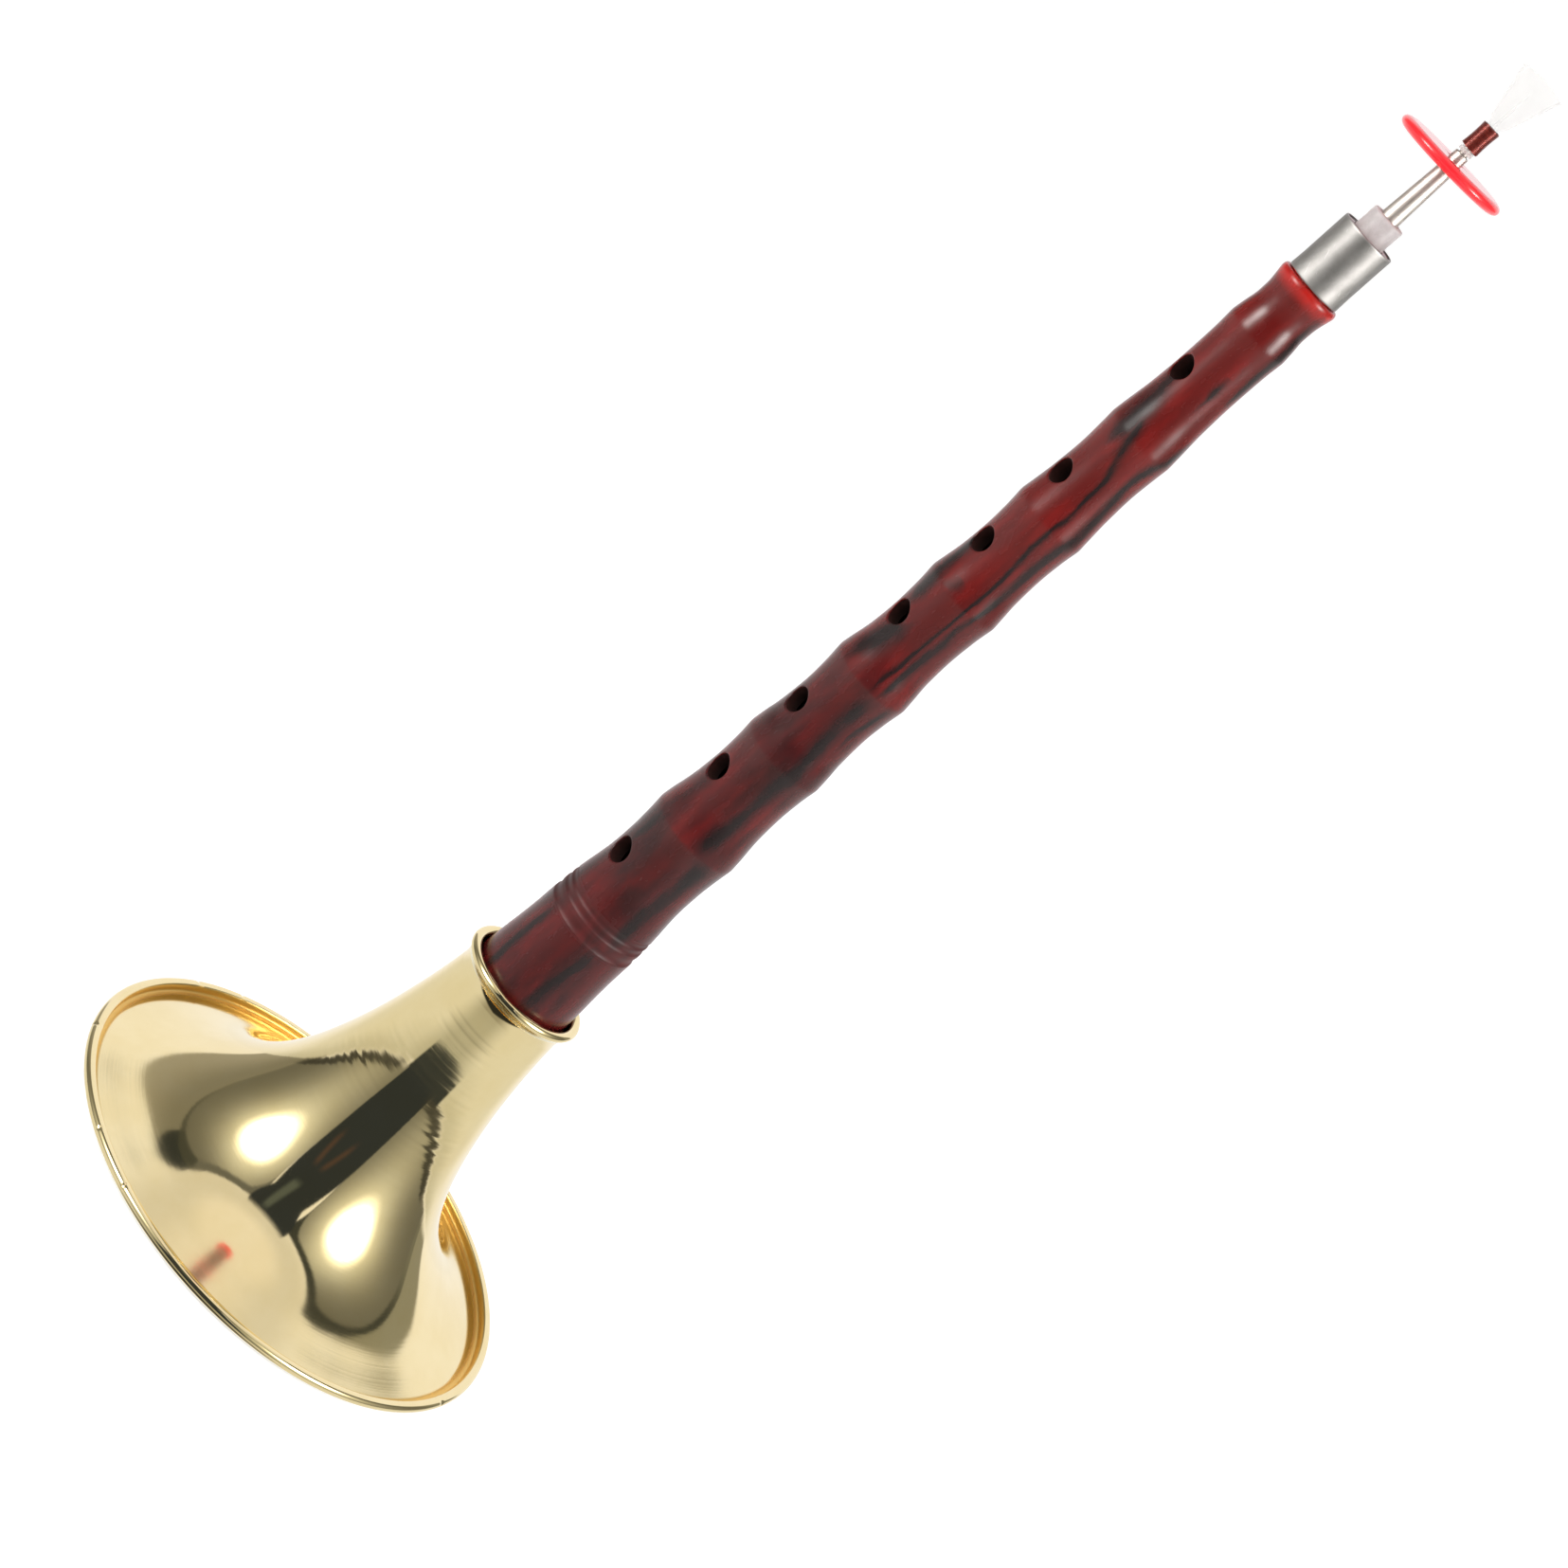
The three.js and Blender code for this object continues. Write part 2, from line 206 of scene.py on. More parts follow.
# ------------------------------------------------------------------ studio
def make_studio():
    world = bpy.data.worlds.new("studio")
    scene.world = world
    world.use_nodes = True
    t = world.node_tree
    t.nodes.clear()
    co = t.nodes.new("ShaderNodeTexCoord")

    def dot(v):
        n = t.nodes.new("ShaderNodeVectorMath")
        n.operation = "DOT_PRODUCT"
        t.links.new(co.outputs["Generated"], n.inputs[0])
        n.inputs[1].default_value = v
        return S(t, n.outputs["Value"])

    a, b, c = dot(V), dot(U), dot(Z)
    lon = b.atan2(a) * (180.0 / math.pi)
    lat = c.min(1.0).max(-1.0).asin() * (180.0 / math.pi)

    def patch(under, mask, rgb):
        return mix(t, mask, under, rgb)

    def box(lon0, lon1, lat0, lat1, corner):
        """Signed distance in degrees to a rounded box of directions, below 0 inside."""
        qx = (lon - (lon0 + lon1) / 2).abs() - ((lon1 - lon0) / 2 - corner)
        qy = (lat - (lat0 + lat1) / 2).abs() - ((lat1 - lat0) / 2 - corner)
        ox, oy = qx.max(0.0), qy.max(0.0)
        return (ox * ox + oy * oy).power(0.5) + qx.max(qy).min(0.0) - corner

    # a pale surround, whitest behind the instrument and overhead
    col = patch(colour(t, (1.06, 1.06, 1.08)), lat.ramp(60, 70), (0.80, 0.785, 0.76))
    col = patch(col, lat.ramp(72, 80), (0.98, 0.95, 0.925))
    # grey cloths at the far ends of the two panels
    right_cloth = (lon + lat.ramp(30, 56) * 12.5).window(104, 142.5, 1.0) * lat.window(-7.5, 58.5, 1.5, 3)
    grey = mix(t, lon.ramp(118, 142), (0.25, 0.245, 0.215), (0.40, 0.39, 0.355))
    col = mix(t, right_cloth, col, grey)
    left_cloth = (lon - lat.ramp(34, 54) * 9.5).window(-142.5, -120, 1.2) * lat.window(-4.5, 54.5, 2.0, 3)
    col = patch(col, left_cloth, (0.31, 0.31, 0.265))
    dark = (0.040, 0.046, 0.048)
    # dark frames of the panels, heavy round the outer upper corners
    off_x, off_y = (lon - 112.0) * (1.0 / 18.0), (lat - 60.0) * (1.0 / 6.8)
    heavy = (off_x * off_x + off_y * off_y).ramp(0.80, 1.10, 1.0, 0.0)
    col = patch(col, heavy, dark)
    frame_r = box(19.0, 113.5, -30.0, 67.2, 10.0).ramp(-0.6, 0.6, 1.0, 0.0) * lat.ramp(-6.5, -4.5)
    col = patch(col, frame_r * lat.ramp(20, 56, 0.35, 0.9), (0.075, 0.08, 0.07))
    frame_l = box(-130.6, -27.0, -30.0, 65.2, 9.0).ramp(-0.6, 0.6, 1.0, 0.0) * lat.ramp(-6.5, -4.5)
    col = patch(col, frame_l * lat.ramp(8, 40, 0.45, 1.0), (0.055, 0.06, 0.055))
    # the two diffusers, brightest where their lamps stand behind them
    for at, up_at, shape in ((-68.0, 34.5, (-127.0, -27.5, -60.0, 61.8, 19.0)), (53.5, 35.0, (19.5, 111.5, -60.0, 63.4, 19.0))):
        inside = box(*shape).ramp(-1.0, 1.0, 1.0, 0.0) * lat.ramp(-6.2, -5.0)
        across = (lon - at) * 0.83
        up = lat - up_at
        dist = across * across + up * up
        wide = (dist * (-1.0 / (23.0 * 23.0)))._op("EXPONENT") * 1.50
        foot = (across * across * (-1.0 / (26.0 * 26.0)))._op("EXPONENT") * lat.ramp(0, 30, 0.16, 0.0)
        level = wide + foot + 0.165
        tone = t.nodes.new("ShaderNodeCombineColor")
        for i, k in enumerate((1.0, 1.0, 0.90)):
            t.links.new((level * k).s, tone.inputs[i])
        col = mix(t, inside, col, tone.outputs[0])
    # the dark gap between them, narrowest at half height
    spread = lat.ramp(50, 69) * 13.0
    fall = (lat * -1.0 + 48.0).max(0.0)
    gap_lo = (lon + spread + fall * 0.20 + 22.5).ramp(-1.2, 1.2)
    gap_hi = (lon - spread - fall * 0.075 - 17.5).ramp(-1.0, 1.0, 1.0, 0.0)
    gap = gap_lo * gap_hi * lat.window(-6.5, 69.5, 0.8, 2.0)
    col = patch(col, gap, (0.036, 0.043, 0.050))
    streak = (lon - 5.0 - (lat - 52.0) * 0.25).window(-4.0, 4.0, 2.5) * lat.window(41, 66, 3)
    col = patch(col, streak * 0.75, (0.14, 0.17, 0.165))
    for side in (-1.0, 1.0):
        warm = (lon - side * 7.0 - (lat - 19.0) * (-0.35 * side)).window(-2.2, 2.2, 2.4) * lat.window(11, 26, 3)
        col = patch(col, warm * 0.6, (0.13, 0.075, 0.055))
    # thin dark line along the foot of the panels
    edge = (lat + 4.9).window(-1.2, 1.2, 0.4) * lon.abs().window(30, 113, 6, 6)
    col = patch(col, edge * 0.95, (0.055, 0.055, 0.050))
    # the pale surface below them, duller on the viewer's side and dark close under the viewer
    low = lat.ramp(-7.0, -6.0, 1.0, 0.0)
    below = mix(t, lat.ramp(-13, -7, 1.0, 0.0), (0.68, 0.68, 0.63), (0.87, 0.87, 0.83))
    near = lon.abs().ramp(12, 52, 1.0, 0.0)
    dull = mix(t, lat.ramp(-27, -14, 1.0, 0.0), (0.54, 0.54, 0.48), (0.38, 0.37, 0.32))
    below = mix(t, near, below, dull)
    under = (lat + lon.abs() * 0.28).ramp(-40, -34, 1.0, 0.0) * lon.abs().ramp(70, 92, 1.0, 0.0)
    below = mix(t, under, below, (0.030, 0.030, 0.028))
    below = mix(t, lon.abs().ramp(125, 150), below, (1.03, 1.03, 1.04))
    col = mix(t, low, col, below)
    # the foot of the gap, a little wider than the gap itself
    foot_gap = lon.window(-46.0, 24.0, 2.0) * lat.window(-9.2, -5.6, 0.1, 0.3)
    col = patch(col, foot_gap, (0.045, 0.052, 0.056))

    light = t.nodes.new("ShaderNodeBackground")
    t.links.new(col, light.inputs["Color"])
    light.inputs["Strength"].default_value = 1.0
    plain = t.nodes.new("ShaderNodeBackground")
    plain.inputs["Color"].default_value = (1.0, 1.0, 1.0, 1.0)
    path = t.nodes.new("ShaderNodeLightPath")
    choose = t.nodes.new("ShaderNodeMixShader")
    t.links.new(path.outputs["Is Camera Ray"], choose.inputs[0])
    t.links.new(light.outputs[0], choose.inputs[1])
    t.links.new(plain.outputs[0], choose.inputs[2])
    out = t.nodes.new("ShaderNodeOutputWorld")
    t.links.new(choose.outputs[0], out.inputs["Surface"])


def make_floor():
    n, radius = 96, 60.0
    verts = [(radius * math.cos(2 * math.pi * i / n), radius * math.sin(2 * math.pi * i / n), -0.00005) for i in range(n)]
    mesh = bpy.data.meshes.new("floor")
    mesh.from_pydata(verts, [], [list(range(n))])
    floor = bpy.data.objects.new("floor", mesh)
    scene.collection.objects.link(floor)
    m = bpy.data.materials.new("floor_pale")
    m.use_nodes = True
    t = m.node_tree
    t.nodes.clear()
    diffuse = t.nodes.new("ShaderNodeBsdfDiffuse")
    diffuse.inputs["Color"].default_value = (0.52, 0.52, 0.53, 1.0)
    glow = t.nodes.new("ShaderNodeEmission")
    glow.inputs["Color"].default_value = (1, 1, 1, 1)
    glow.inputs["Strength"].default_value = 0.67
    add = t.nodes.new("ShaderNodeAddShader")
    t.links.new(diffuse.outputs[0], add.inputs[0])
    t.links.new(glow.outputs[0], add.inputs[1])
    out = t.nodes.new("ShaderNodeOutputMaterial")
    t.links.new(add.outputs[0], out.inputs["Surface"])
    mesh.materials.append(m)
    floor.visible_glossy = False


def make_lamps():
    """The lit middles of the two diffusers: glowing round sheets beside the instrument."""
    for name, lon, height, strength in (("lamp_right", 52.5, 460.0, 26.0), ("lamp_left", -66.5, 452.0, 26.0)):
        a = math.radians(lon)
        out = V * math.cos(a) + U * math.sin(a)
        centre = out * 650.0 + Z * height
        facing = (Z * 150.0 - centre).normalized()
        side = facing.cross(Z).normalized()
        up = side.cross(facing).normalized()
        verts, faces, rings, n = [centre], [], 12, 48
        for k in range(1, rings + 1):
            for i in range(n):
                b = 2 * math.pi * i / n
                verts.append(centre + (side * math.cos(b) + up * math.sin(b)) * (300.0 * k / rings))
        for i in range(n):
            faces.append((0, 1 + i, 1 + (i + 1) % n))
        for k in range(rings - 1):
            for i in range(n):
                p, q = 1 + k * n, 1 + (k + 1) * n
                faces.append((p + i, q + i, q + (i + 1) % n, p + (i + 1) % n))
        mesh = bpy.data.meshes.new(name)
        mesh.from_pydata([tuple(v * MM) for v in verts], [], faces)
        lamp = bpy.data.objects.new(name, mesh)
        scene.collection.objects.link(lamp)
        m = bpy.data.materials.new(name + "_glow")
        m.use_nodes = True
        t = m.node_tree
        t.nodes.clear()
        x, y, z = place(t)
        dx, dy, dz = x - centre.x, y - centre.y, z - centre.z
        dist = dx * dx + dy * dy + dz * dz
        level = ((dist * (-1.0 / (126.0 * 126.0)))._op("EXPONENT") * strength - 0.09).max(0.0)
        glow = t.nodes.new("ShaderNodeEmission")
        glow.inputs["Color"].default_value = (1.0, 0.99, 0.96, 1.0)
        t.links.new(level.s, glow.inputs["Strength"])
        clear = t.nodes.new("ShaderNodeBsdfTransparent")
        add = t.nodes.new("ShaderNodeAddShader")
        t.links.new(glow.outputs[0], add.inputs[0])
        t.links.new(clear.outputs[0], add.inputs[1])
        out_node = t.nodes.new("ShaderNodeOutputMaterial")
        t.links.new(add.outputs[0], out_node.inputs["Surface"])
        mesh.materials.append(m)
        lamp.visible_camera = False
        lamp.visible_shadow = False


make_studio()
make_floor()
make_lamps()


# ------------------------------------------------------------------ mesh helpers
def monotone(x, y, at):
    """Monotone cubic interpolation of y over x."""
    x, y, at = (np.asarray(q, float) for q in (x, y, at))
    h = np.diff(x)
    d = np.diff(y) / h
    m = np.zeros(len(x))
    m[0], m[-1] = d[0], d[-1]
    for i in range(1, len(x) - 1):
        if d[i - 1] * d[i] > 0:
            w1, w2 = 2 * h[i] + h[i - 1], h[i] + 2 * h[i - 1]
            m[i] = (w1 + w2) / (w1 / d[i - 1] + w2 / d[i])
    i = np.clip(np.searchsorted(x, at, side="right") - 1, 0, len(x) - 2)
    s = (at - x[i]) / h[i]
    return ((1 + 2 * s) * (1 - s) ** 2 * y[i] + s * (1 - s) ** 2 * h[i] * m[i]
            + s * s * (3 - 2 * s) * y[i + 1] + s * s * (s - 1) * h[i] * m[i + 1])


def smooth_line(points, step, sigma):
    """Points resampled every step along a smooth curve, with its ends kept."""
    p = np.asarray(points, float)
    s = np.concatenate([[0], np.cumsum(np.hypot(*np.diff(p, axis=0).T))])
    n = int(round(s[-1] / step)) + 1
    at = np.linspace(0, s[-1], n)
    q = np.column_stack([monotone(s, p[:, 0], at), monotone(s, p[:, 1], at)])
    if sigma <= 0:
        return q
    k = int(math.ceil(3 * sigma / step))
    k = min(k, n - 1)
    w = np.exp(-0.5 * (np.arange(-k, k + 1) * step / sigma) ** 2)
    w /= w.sum()
    ext = np.vstack([2 * q[0] - q[k:0:-1], q, 2 * q[-1] - q[-2:-k - 2:-1]])
    return np.column_stack([np.convolve(ext[:, j], w, "valid") for j in (0, 1)])


def arc(cr, cz, rr, rz, a0, a1, n, power=1.0):
    """Part of an ellipse in the radius-height plane; power under 1 squares it off."""
    out = []
    for i in range(n + 1):
        a = math.radians(a0 + (a1 - a0) * i / n)
        c, s = math.cos(a), math.sin(a)
        out.append((cr + rr * math.copysign(abs(c) ** power, c), cz + rz * math.copysign(abs(s) ** power, s)))
    return out


def make_object(name, verts, faces, sharp=35.0, recalc=True):
    mesh = bpy.data.meshes.new(name)
    mesh.from_pydata([tuple(v) for v in verts], [], faces)
    if recalc:
        bm = bmesh.new()
        bm.from_mesh(mesh)
        bmesh.ops.recalc_face_normals(bm, faces=bm.faces[:])
        bm.to_mesh(mesh)
        bm.free()
    mesh.shade_smooth()
    mesh.set_sharp_from_angle(angle=math.radians(sharp))
    obj = bpy.data.objects.new(name, mesh)
    scene.collection.objects.link(obj)
    return obj


def lathe_data(profile, angles):
    """Vertices in metres and quads of a closed outline turned round the axis."""
    p = np.asarray(profile, float)
    a = np.radians(np.asarray(angles, float))
    n, k = len(p), len(a)
    x = p[:, 0][None] * np.cos(a)[:, None]
    y = p[:, 0][None] * np.sin(a)[:, None]
    z = np.repeat(p[:, 1][None], k, 0)
    verts = np.stack([x, y, z], -1).reshape(-1, 3) * MM
    faces = []
    for j in range(k):
        j2 = (j + 1) % k
        for i in range(n):
            i2 = (i + 1) % n
            faces.append((j * n + i, j2 * n + i, j2 * n + i2, j * n + i2))
    return verts, faces


def turned(name, profile, segments=128, sharp=35.0):
    return make_object(name, *lathe_data(profile, np.arange(segments) * 360.0 / segments), sharp=sharp)


def finish_piece(obj, mat, body, node):
    obj.data.materials.clear()
    obj.data.materials.append(mat)
    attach(obj, body)
    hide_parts(node)
    return obj


# ------------------------------------------------------------------ bell
FLARE = [
    (66.5, 0.95), (63.3, 2.35), (59.8, 3.95), (55.2, 6.0), (51.2, 8.0), (47.2, 10.4), (43.5, 13.0),
    (40.1, 15.9), (37.0, 19.0), (34.2, 22.5), (31.85, 26.0), (28.3, 33.0), (25.7, 40.0),
    (23.6, 47.0), (21.8, 54.0), (20.3, 61.0), (19.1, 68.0), (18.05, 75.0), (17.25, 82.0),
    (16.93, 85.2), (16.86, 86.9),
]
SHEET = 0.8


def bell_profile():
    flare = smooth_line(FLARE, 0.25, 2.2)
    z = flare[:, 1]
    s = np.concatenate([[0], np.cumsum(np.hypot(*np.diff(flare, axis=0).T))])
    tangent = np.gradient(flare, s, axis=0)
    normal = np.column_stack([tangent[:, 1], -tangent[:, 0]])
    inner = flare - normal * SHEET
    # three rings that the spinning roller left in the neck, and its finer track below them
    marks = sum(a * np.cos((z - at) * 2 * math.pi / 2.6) * np.exp(-((z - at) / 1.4) ** 2)
                for at, a in ((75.8, 0.009), (78.9, 0.011), (81.2, 0.010)))
    zone = np.clip((z - 34.0) / 12.0, 0, 1) * np.clip((70.0 - z) / 8.0, 0, 1)
    lines = (0.0022 * np.sin(z * 2 * math.pi / 2.6 + 0.4) + 0.0014 * np.sin(z * 2 * math.pi / 1.7 + 2.1)
             + 0.0030 * np.sin(z * 2 * math.pi / 4.1 + 1.3)) * (0.65 + 0.35 * np.sin(z * 0.41))
    outer = flare + normal * (marks + zone * lines)[:, None]
    # flat foot, rolled edge and the shallow valley inside it
    rim = [(65.95, 0.0), (66.9, 0.0), (67.75, 0.0), (68.05, 0.05), (68.45, 0.22), (68.85, 0.42), (69.25, 0.60)]
    rim += arc(69.3, 2.1, 1.4, 1.4, -75, 90, 22)
    rim += arc(69.3, 2.1, 1.38, 1.4, 90, 180, 18, 0.55)[1:]
    rim += [(67.91, 1.66), (67.89, 1.42), (67.82, 1.22), (67.70, 1.06), (67.52, 0.955), (67.28, 0.905), (67.00, 0.893), (66.75, 0.905)]
    bead = arc(17.4, 92.55, 1.38, 1.38, -48, 176, 30)
    # the neck turns out in a soft hollow to its bead
    lip = [(16.855 + 0.0515 * (q - 86.87) ** 2, q) for q in np.arange(87.1, 90.95, 0.2)]
    lip += [(17.80, 91.05), (18.00, 91.22), (18.18, 91.38)]
    inside = inner[inner[:, 0] < 64.5][::-1][::5]
    back = [(16.04, 91.6), (16.02, 90.4), (16.03, 88.3)]
    return np.vstack([rim, outer, lip, bead, back, inside])


def make_bell():
    prof = bell_profile()
    # azimuths of small knocks on the rim's edge, each a little finer than the rest
    nicks = [(-108.7, 0.30, 0.55), (-75.7, 0.20, 0.5), (-61.0, 0.22, 0.6), (-156.7, 0.42, 0.8), (-170.7, 0.34, 0.6), (38.0, 0.22, 0.6), (151.0, 0.25, 0.5)]
    angles = set(np.round(np.arange(0, 360, 1.25), 4).tolist())
    for az, _, _ in nicks:
        for d in np.arange(-1.25, 1.26, 0.18):
            angles.add(round((az + d) % 360, 4))
    angles = sorted(angles)
    keep = [angles[0]]
    for a in angles[1:]:
        if a - keep[-1] > 0.09:
            keep.append(a)
    angles = keep
    verts, faces = lathe_data(prof, angles)
    v = verts / MM
    r = np.hypot(v[:, 0], v[:, 1])
    az = np.degrees(np.arctan2(v[:, 1], v[:, 0]))
    on_rim = (r > 68.0) & (v[:, 2] < 3.6)
    dr, dz = np.zeros(len(v)), np.zeros(len(v))
    for a0, depth, wide in nicks:
        d = (az - a0 + 180) % 360 - 180
        along = d * math.pi / 180 * 70.7
        up = np.clip((v[:, 2] - 2.0) / 1.2, 0, 1)
        g = np.exp(-(along / wide) ** 2) * up * on_rim
        dr -= g * depth
        dz -= g * depth * 0.5 * (r > 69.0)
    # hardly any metal is truly round: a slow waviness of a few hundredths of a millimetre
    body = np.clip((r - 17.5) / 10, 0, 1) * np.clip((65.5 - r) / 3.0, 0, 1)
    a = np.radians(az)
    wave = 0.020 * np.sin(3 * a + v[:, 2] * 0.11 + 0.6) + 0.012 * np.sin(7 * a - v[:, 2] * 0.23 + 2.0)
    dr += wave * body
    scale = (r + dr) / np.maximum(r, 1e-9)
    v[:, 0] *= scale
    v[:, 1] *= scale
    v[:, 2] += dz
    v[:, 2] = np.maximum(v[:, 2], 0.0)
    obj = make_object("bell_spun", v * MM, faces, sharp=40)

    m, t, s = material("bell_brass_gilt")
    x, y, z = place(t)
    radius = (x * x + y * y).power(0.5)
    az_n = y.atan2(x)
    cloud = noise(t, vector(t, x * 0.06, y * 0.06, z * 0.06), 1.0, 4, 0.6)
    fine = noise(t, vector(t, az_n * 1.2, radius * 3.0, z * 3.0), 1.0, 2, 0.5)
    # the wall inside the rolled edge is duller and painted a deeper orange, a painted shade for the light bouncing in
    # that hollow; the crook under the neck's bead is duller and painted paler, a painted reflection of the pale light
    # that lies there
    fold = radius.window(66.0, 68.15, 0.35, 0.2)
    crook = z.window(90.3, 91.9, 0.3) * radius.ramp(16.6, 17.0)
    tone = mix(t, cloud.ramp(0.3, 0.7), (0.875, 0.735, 0.435), (0.845, 0.695, 0.385))
    tone = mix(t, fold * 0.90, tone, (0.80, 0.51, 0.135))
    tone = mix(t, crook * 0.80, tone, (0.90, 0.86, 0.66))
    # painted reflection: soft dark rings on the neck, only on the side towards the viewer, standing in for the dark
    # gap mirrored there
    facing = (x * V.x + y * V.y) / radius
    painted_dark_rings = None
    for at, much in ((75.8, 0.16), (78.7, 0.30), (80.8, 0.20)):
        off = (z - at) * (1.0 / 0.42)
        one = (off * off * -1.0)._op("EXPONENT") * much
        painted_dark_rings = one if painted_dark_rings is None else painted_dark_rings + one
    tone = mix(t, painted_dark_rings * facing.ramp(0.86, 0.985), tone, (0.20, 0.165, 0.085))
    t.links.new(tone, s.inputs["Base Color"])
    s.inputs["Metallic"].default_value = 1.0
    rough = fine * 0.025 + cloud * 0.020 + fold * 0.36 + crook * 0.24 + radius.ramp(42, 62) * 0.055 + 0.032
    t.links.new(rough.s, s.inputs["Roughness"])
    spin = noise(t, vector(t, az_n * 0.35, radius * 1.3, z * 1.6), 1.0, 3, 0.6)
    peel = noise(t, vector(t, x * 0.5, y * 0.5, z * 0.5), 1.0, 2, 0.5)
    bump(t, s, spin * 0.6 + peel * 0.4, 0.12, 0.05)
    return finish_piece(obj, m, "bell", "bell")


# ------------------------------------------------------------------ pipe
PIPE = [
    (90.0, 15.4), (98.7, 14.95), (105.0, 14.5), (111.5, 14.2), (116.6, 14.1),
    (123.9, 13.72), (128.3, 13.3), (132.5, 12.8),
    (136.6, 12.42), (140.8, 12.28), (144.9, 12.3), (149.0, 12.5), (153.1, 12.82), (155.7, 13.08),
    (159.3, 12.68), (163.3, 12.1), (167.4, 11.66), (175.5, 11.35), (181.5, 11.55), (187.0, 12.07),
    (191.5, 11.6), (195.5, 11.06), (205.4, 10.6), (211.3, 10.88), (217.5, 11.52),
    (221.1, 11.06), (226.9, 10.29), (234.6, 9.98), (242.3, 10.25), (248.5, 10.87),
    (251.8, 10.45), (257.5, 9.83), (265.1, 9.56), (271.5, 9.8), (277.3, 10.36),
    (281.9, 9.89), (287.4, 9.44), (295.7, 9.14), (302.1, 9.4), (306.7, 9.7),
    (311.2, 9.32), (318.5, 8.7), (329.2, 8.38), (337.5, 8.45), (343.6, 8.78),
    (347.0, 8.4), (350.8, 7.93), (353.5, 7.97), (356.5, 8.35), (358.2, 8.70),
]
LINES = [(118.0, 0.36, 3.2), (122.0, 0.33, 2.2), (124.4, 0.30, 1.9)]     # turned lines: lower edge, depth, width
HOLES = [(140.1, 3.75, -90.0), (174.2, 3.75, -90.0), (201.1, 3.55, -90.0), (235.35, 3.55, -90.0),
         (263.0, 3.55, -90.0), (288.3, 3.5, -90.0), (312.0, 3.4, 90.0), (326.25, 3.5, -90.0)]
CRESTS = [155.7, 187.0, 217.5, 248.5, 277.3, 306.7, 343.6]     # the joints, each turned to an edge
_dense_z = np.arange(90.0, 358.21, 0.1)
_p = np.asarray(PIPE)
_r = np.zeros(len(_dense_z))
_ends = [_p[0, 0]] + CRESTS + [_p[-1, 0]]
for _lo, _hi in zip(_ends, _ends[1:]):
    _part = _p[(_p[:, 0] >= _lo - 1e-6) & (_p[:, 0] <= _hi + 1e-6)]
    _here = (_dense_z >= _lo - 1e-6) & (_dense_z <= _hi + 1e-6)
    _r[_here] = monotone(_part[:, 0], _part[:, 1], _dense_z[_here])
_k = np.exp(-0.5 * (np.arange(-24, 25) * 0.1 / 0.32) ** 2)
_k /= _k.sum()
_ext = np.concatenate([2 * _r[0] - _r[24:0:-1], _r, 2 * _r[-1] - _r[-2:-26:-1]])
_r = np.convolve(_ext, _k, "valid")


def pipe_r(z):
    r = np.interp(z, _dense_z, _r)
    for at, depth, width in LINES:
        t = np.clip((np.asarray(z) - at) / width, 0.0, 1.0)
        r = r - depth * 6.75 * t * (1 - t) ** 2
    return r


def bore_r(z):
    return np.interp(z, [67.0, 362.2], [9.8, 3.4])


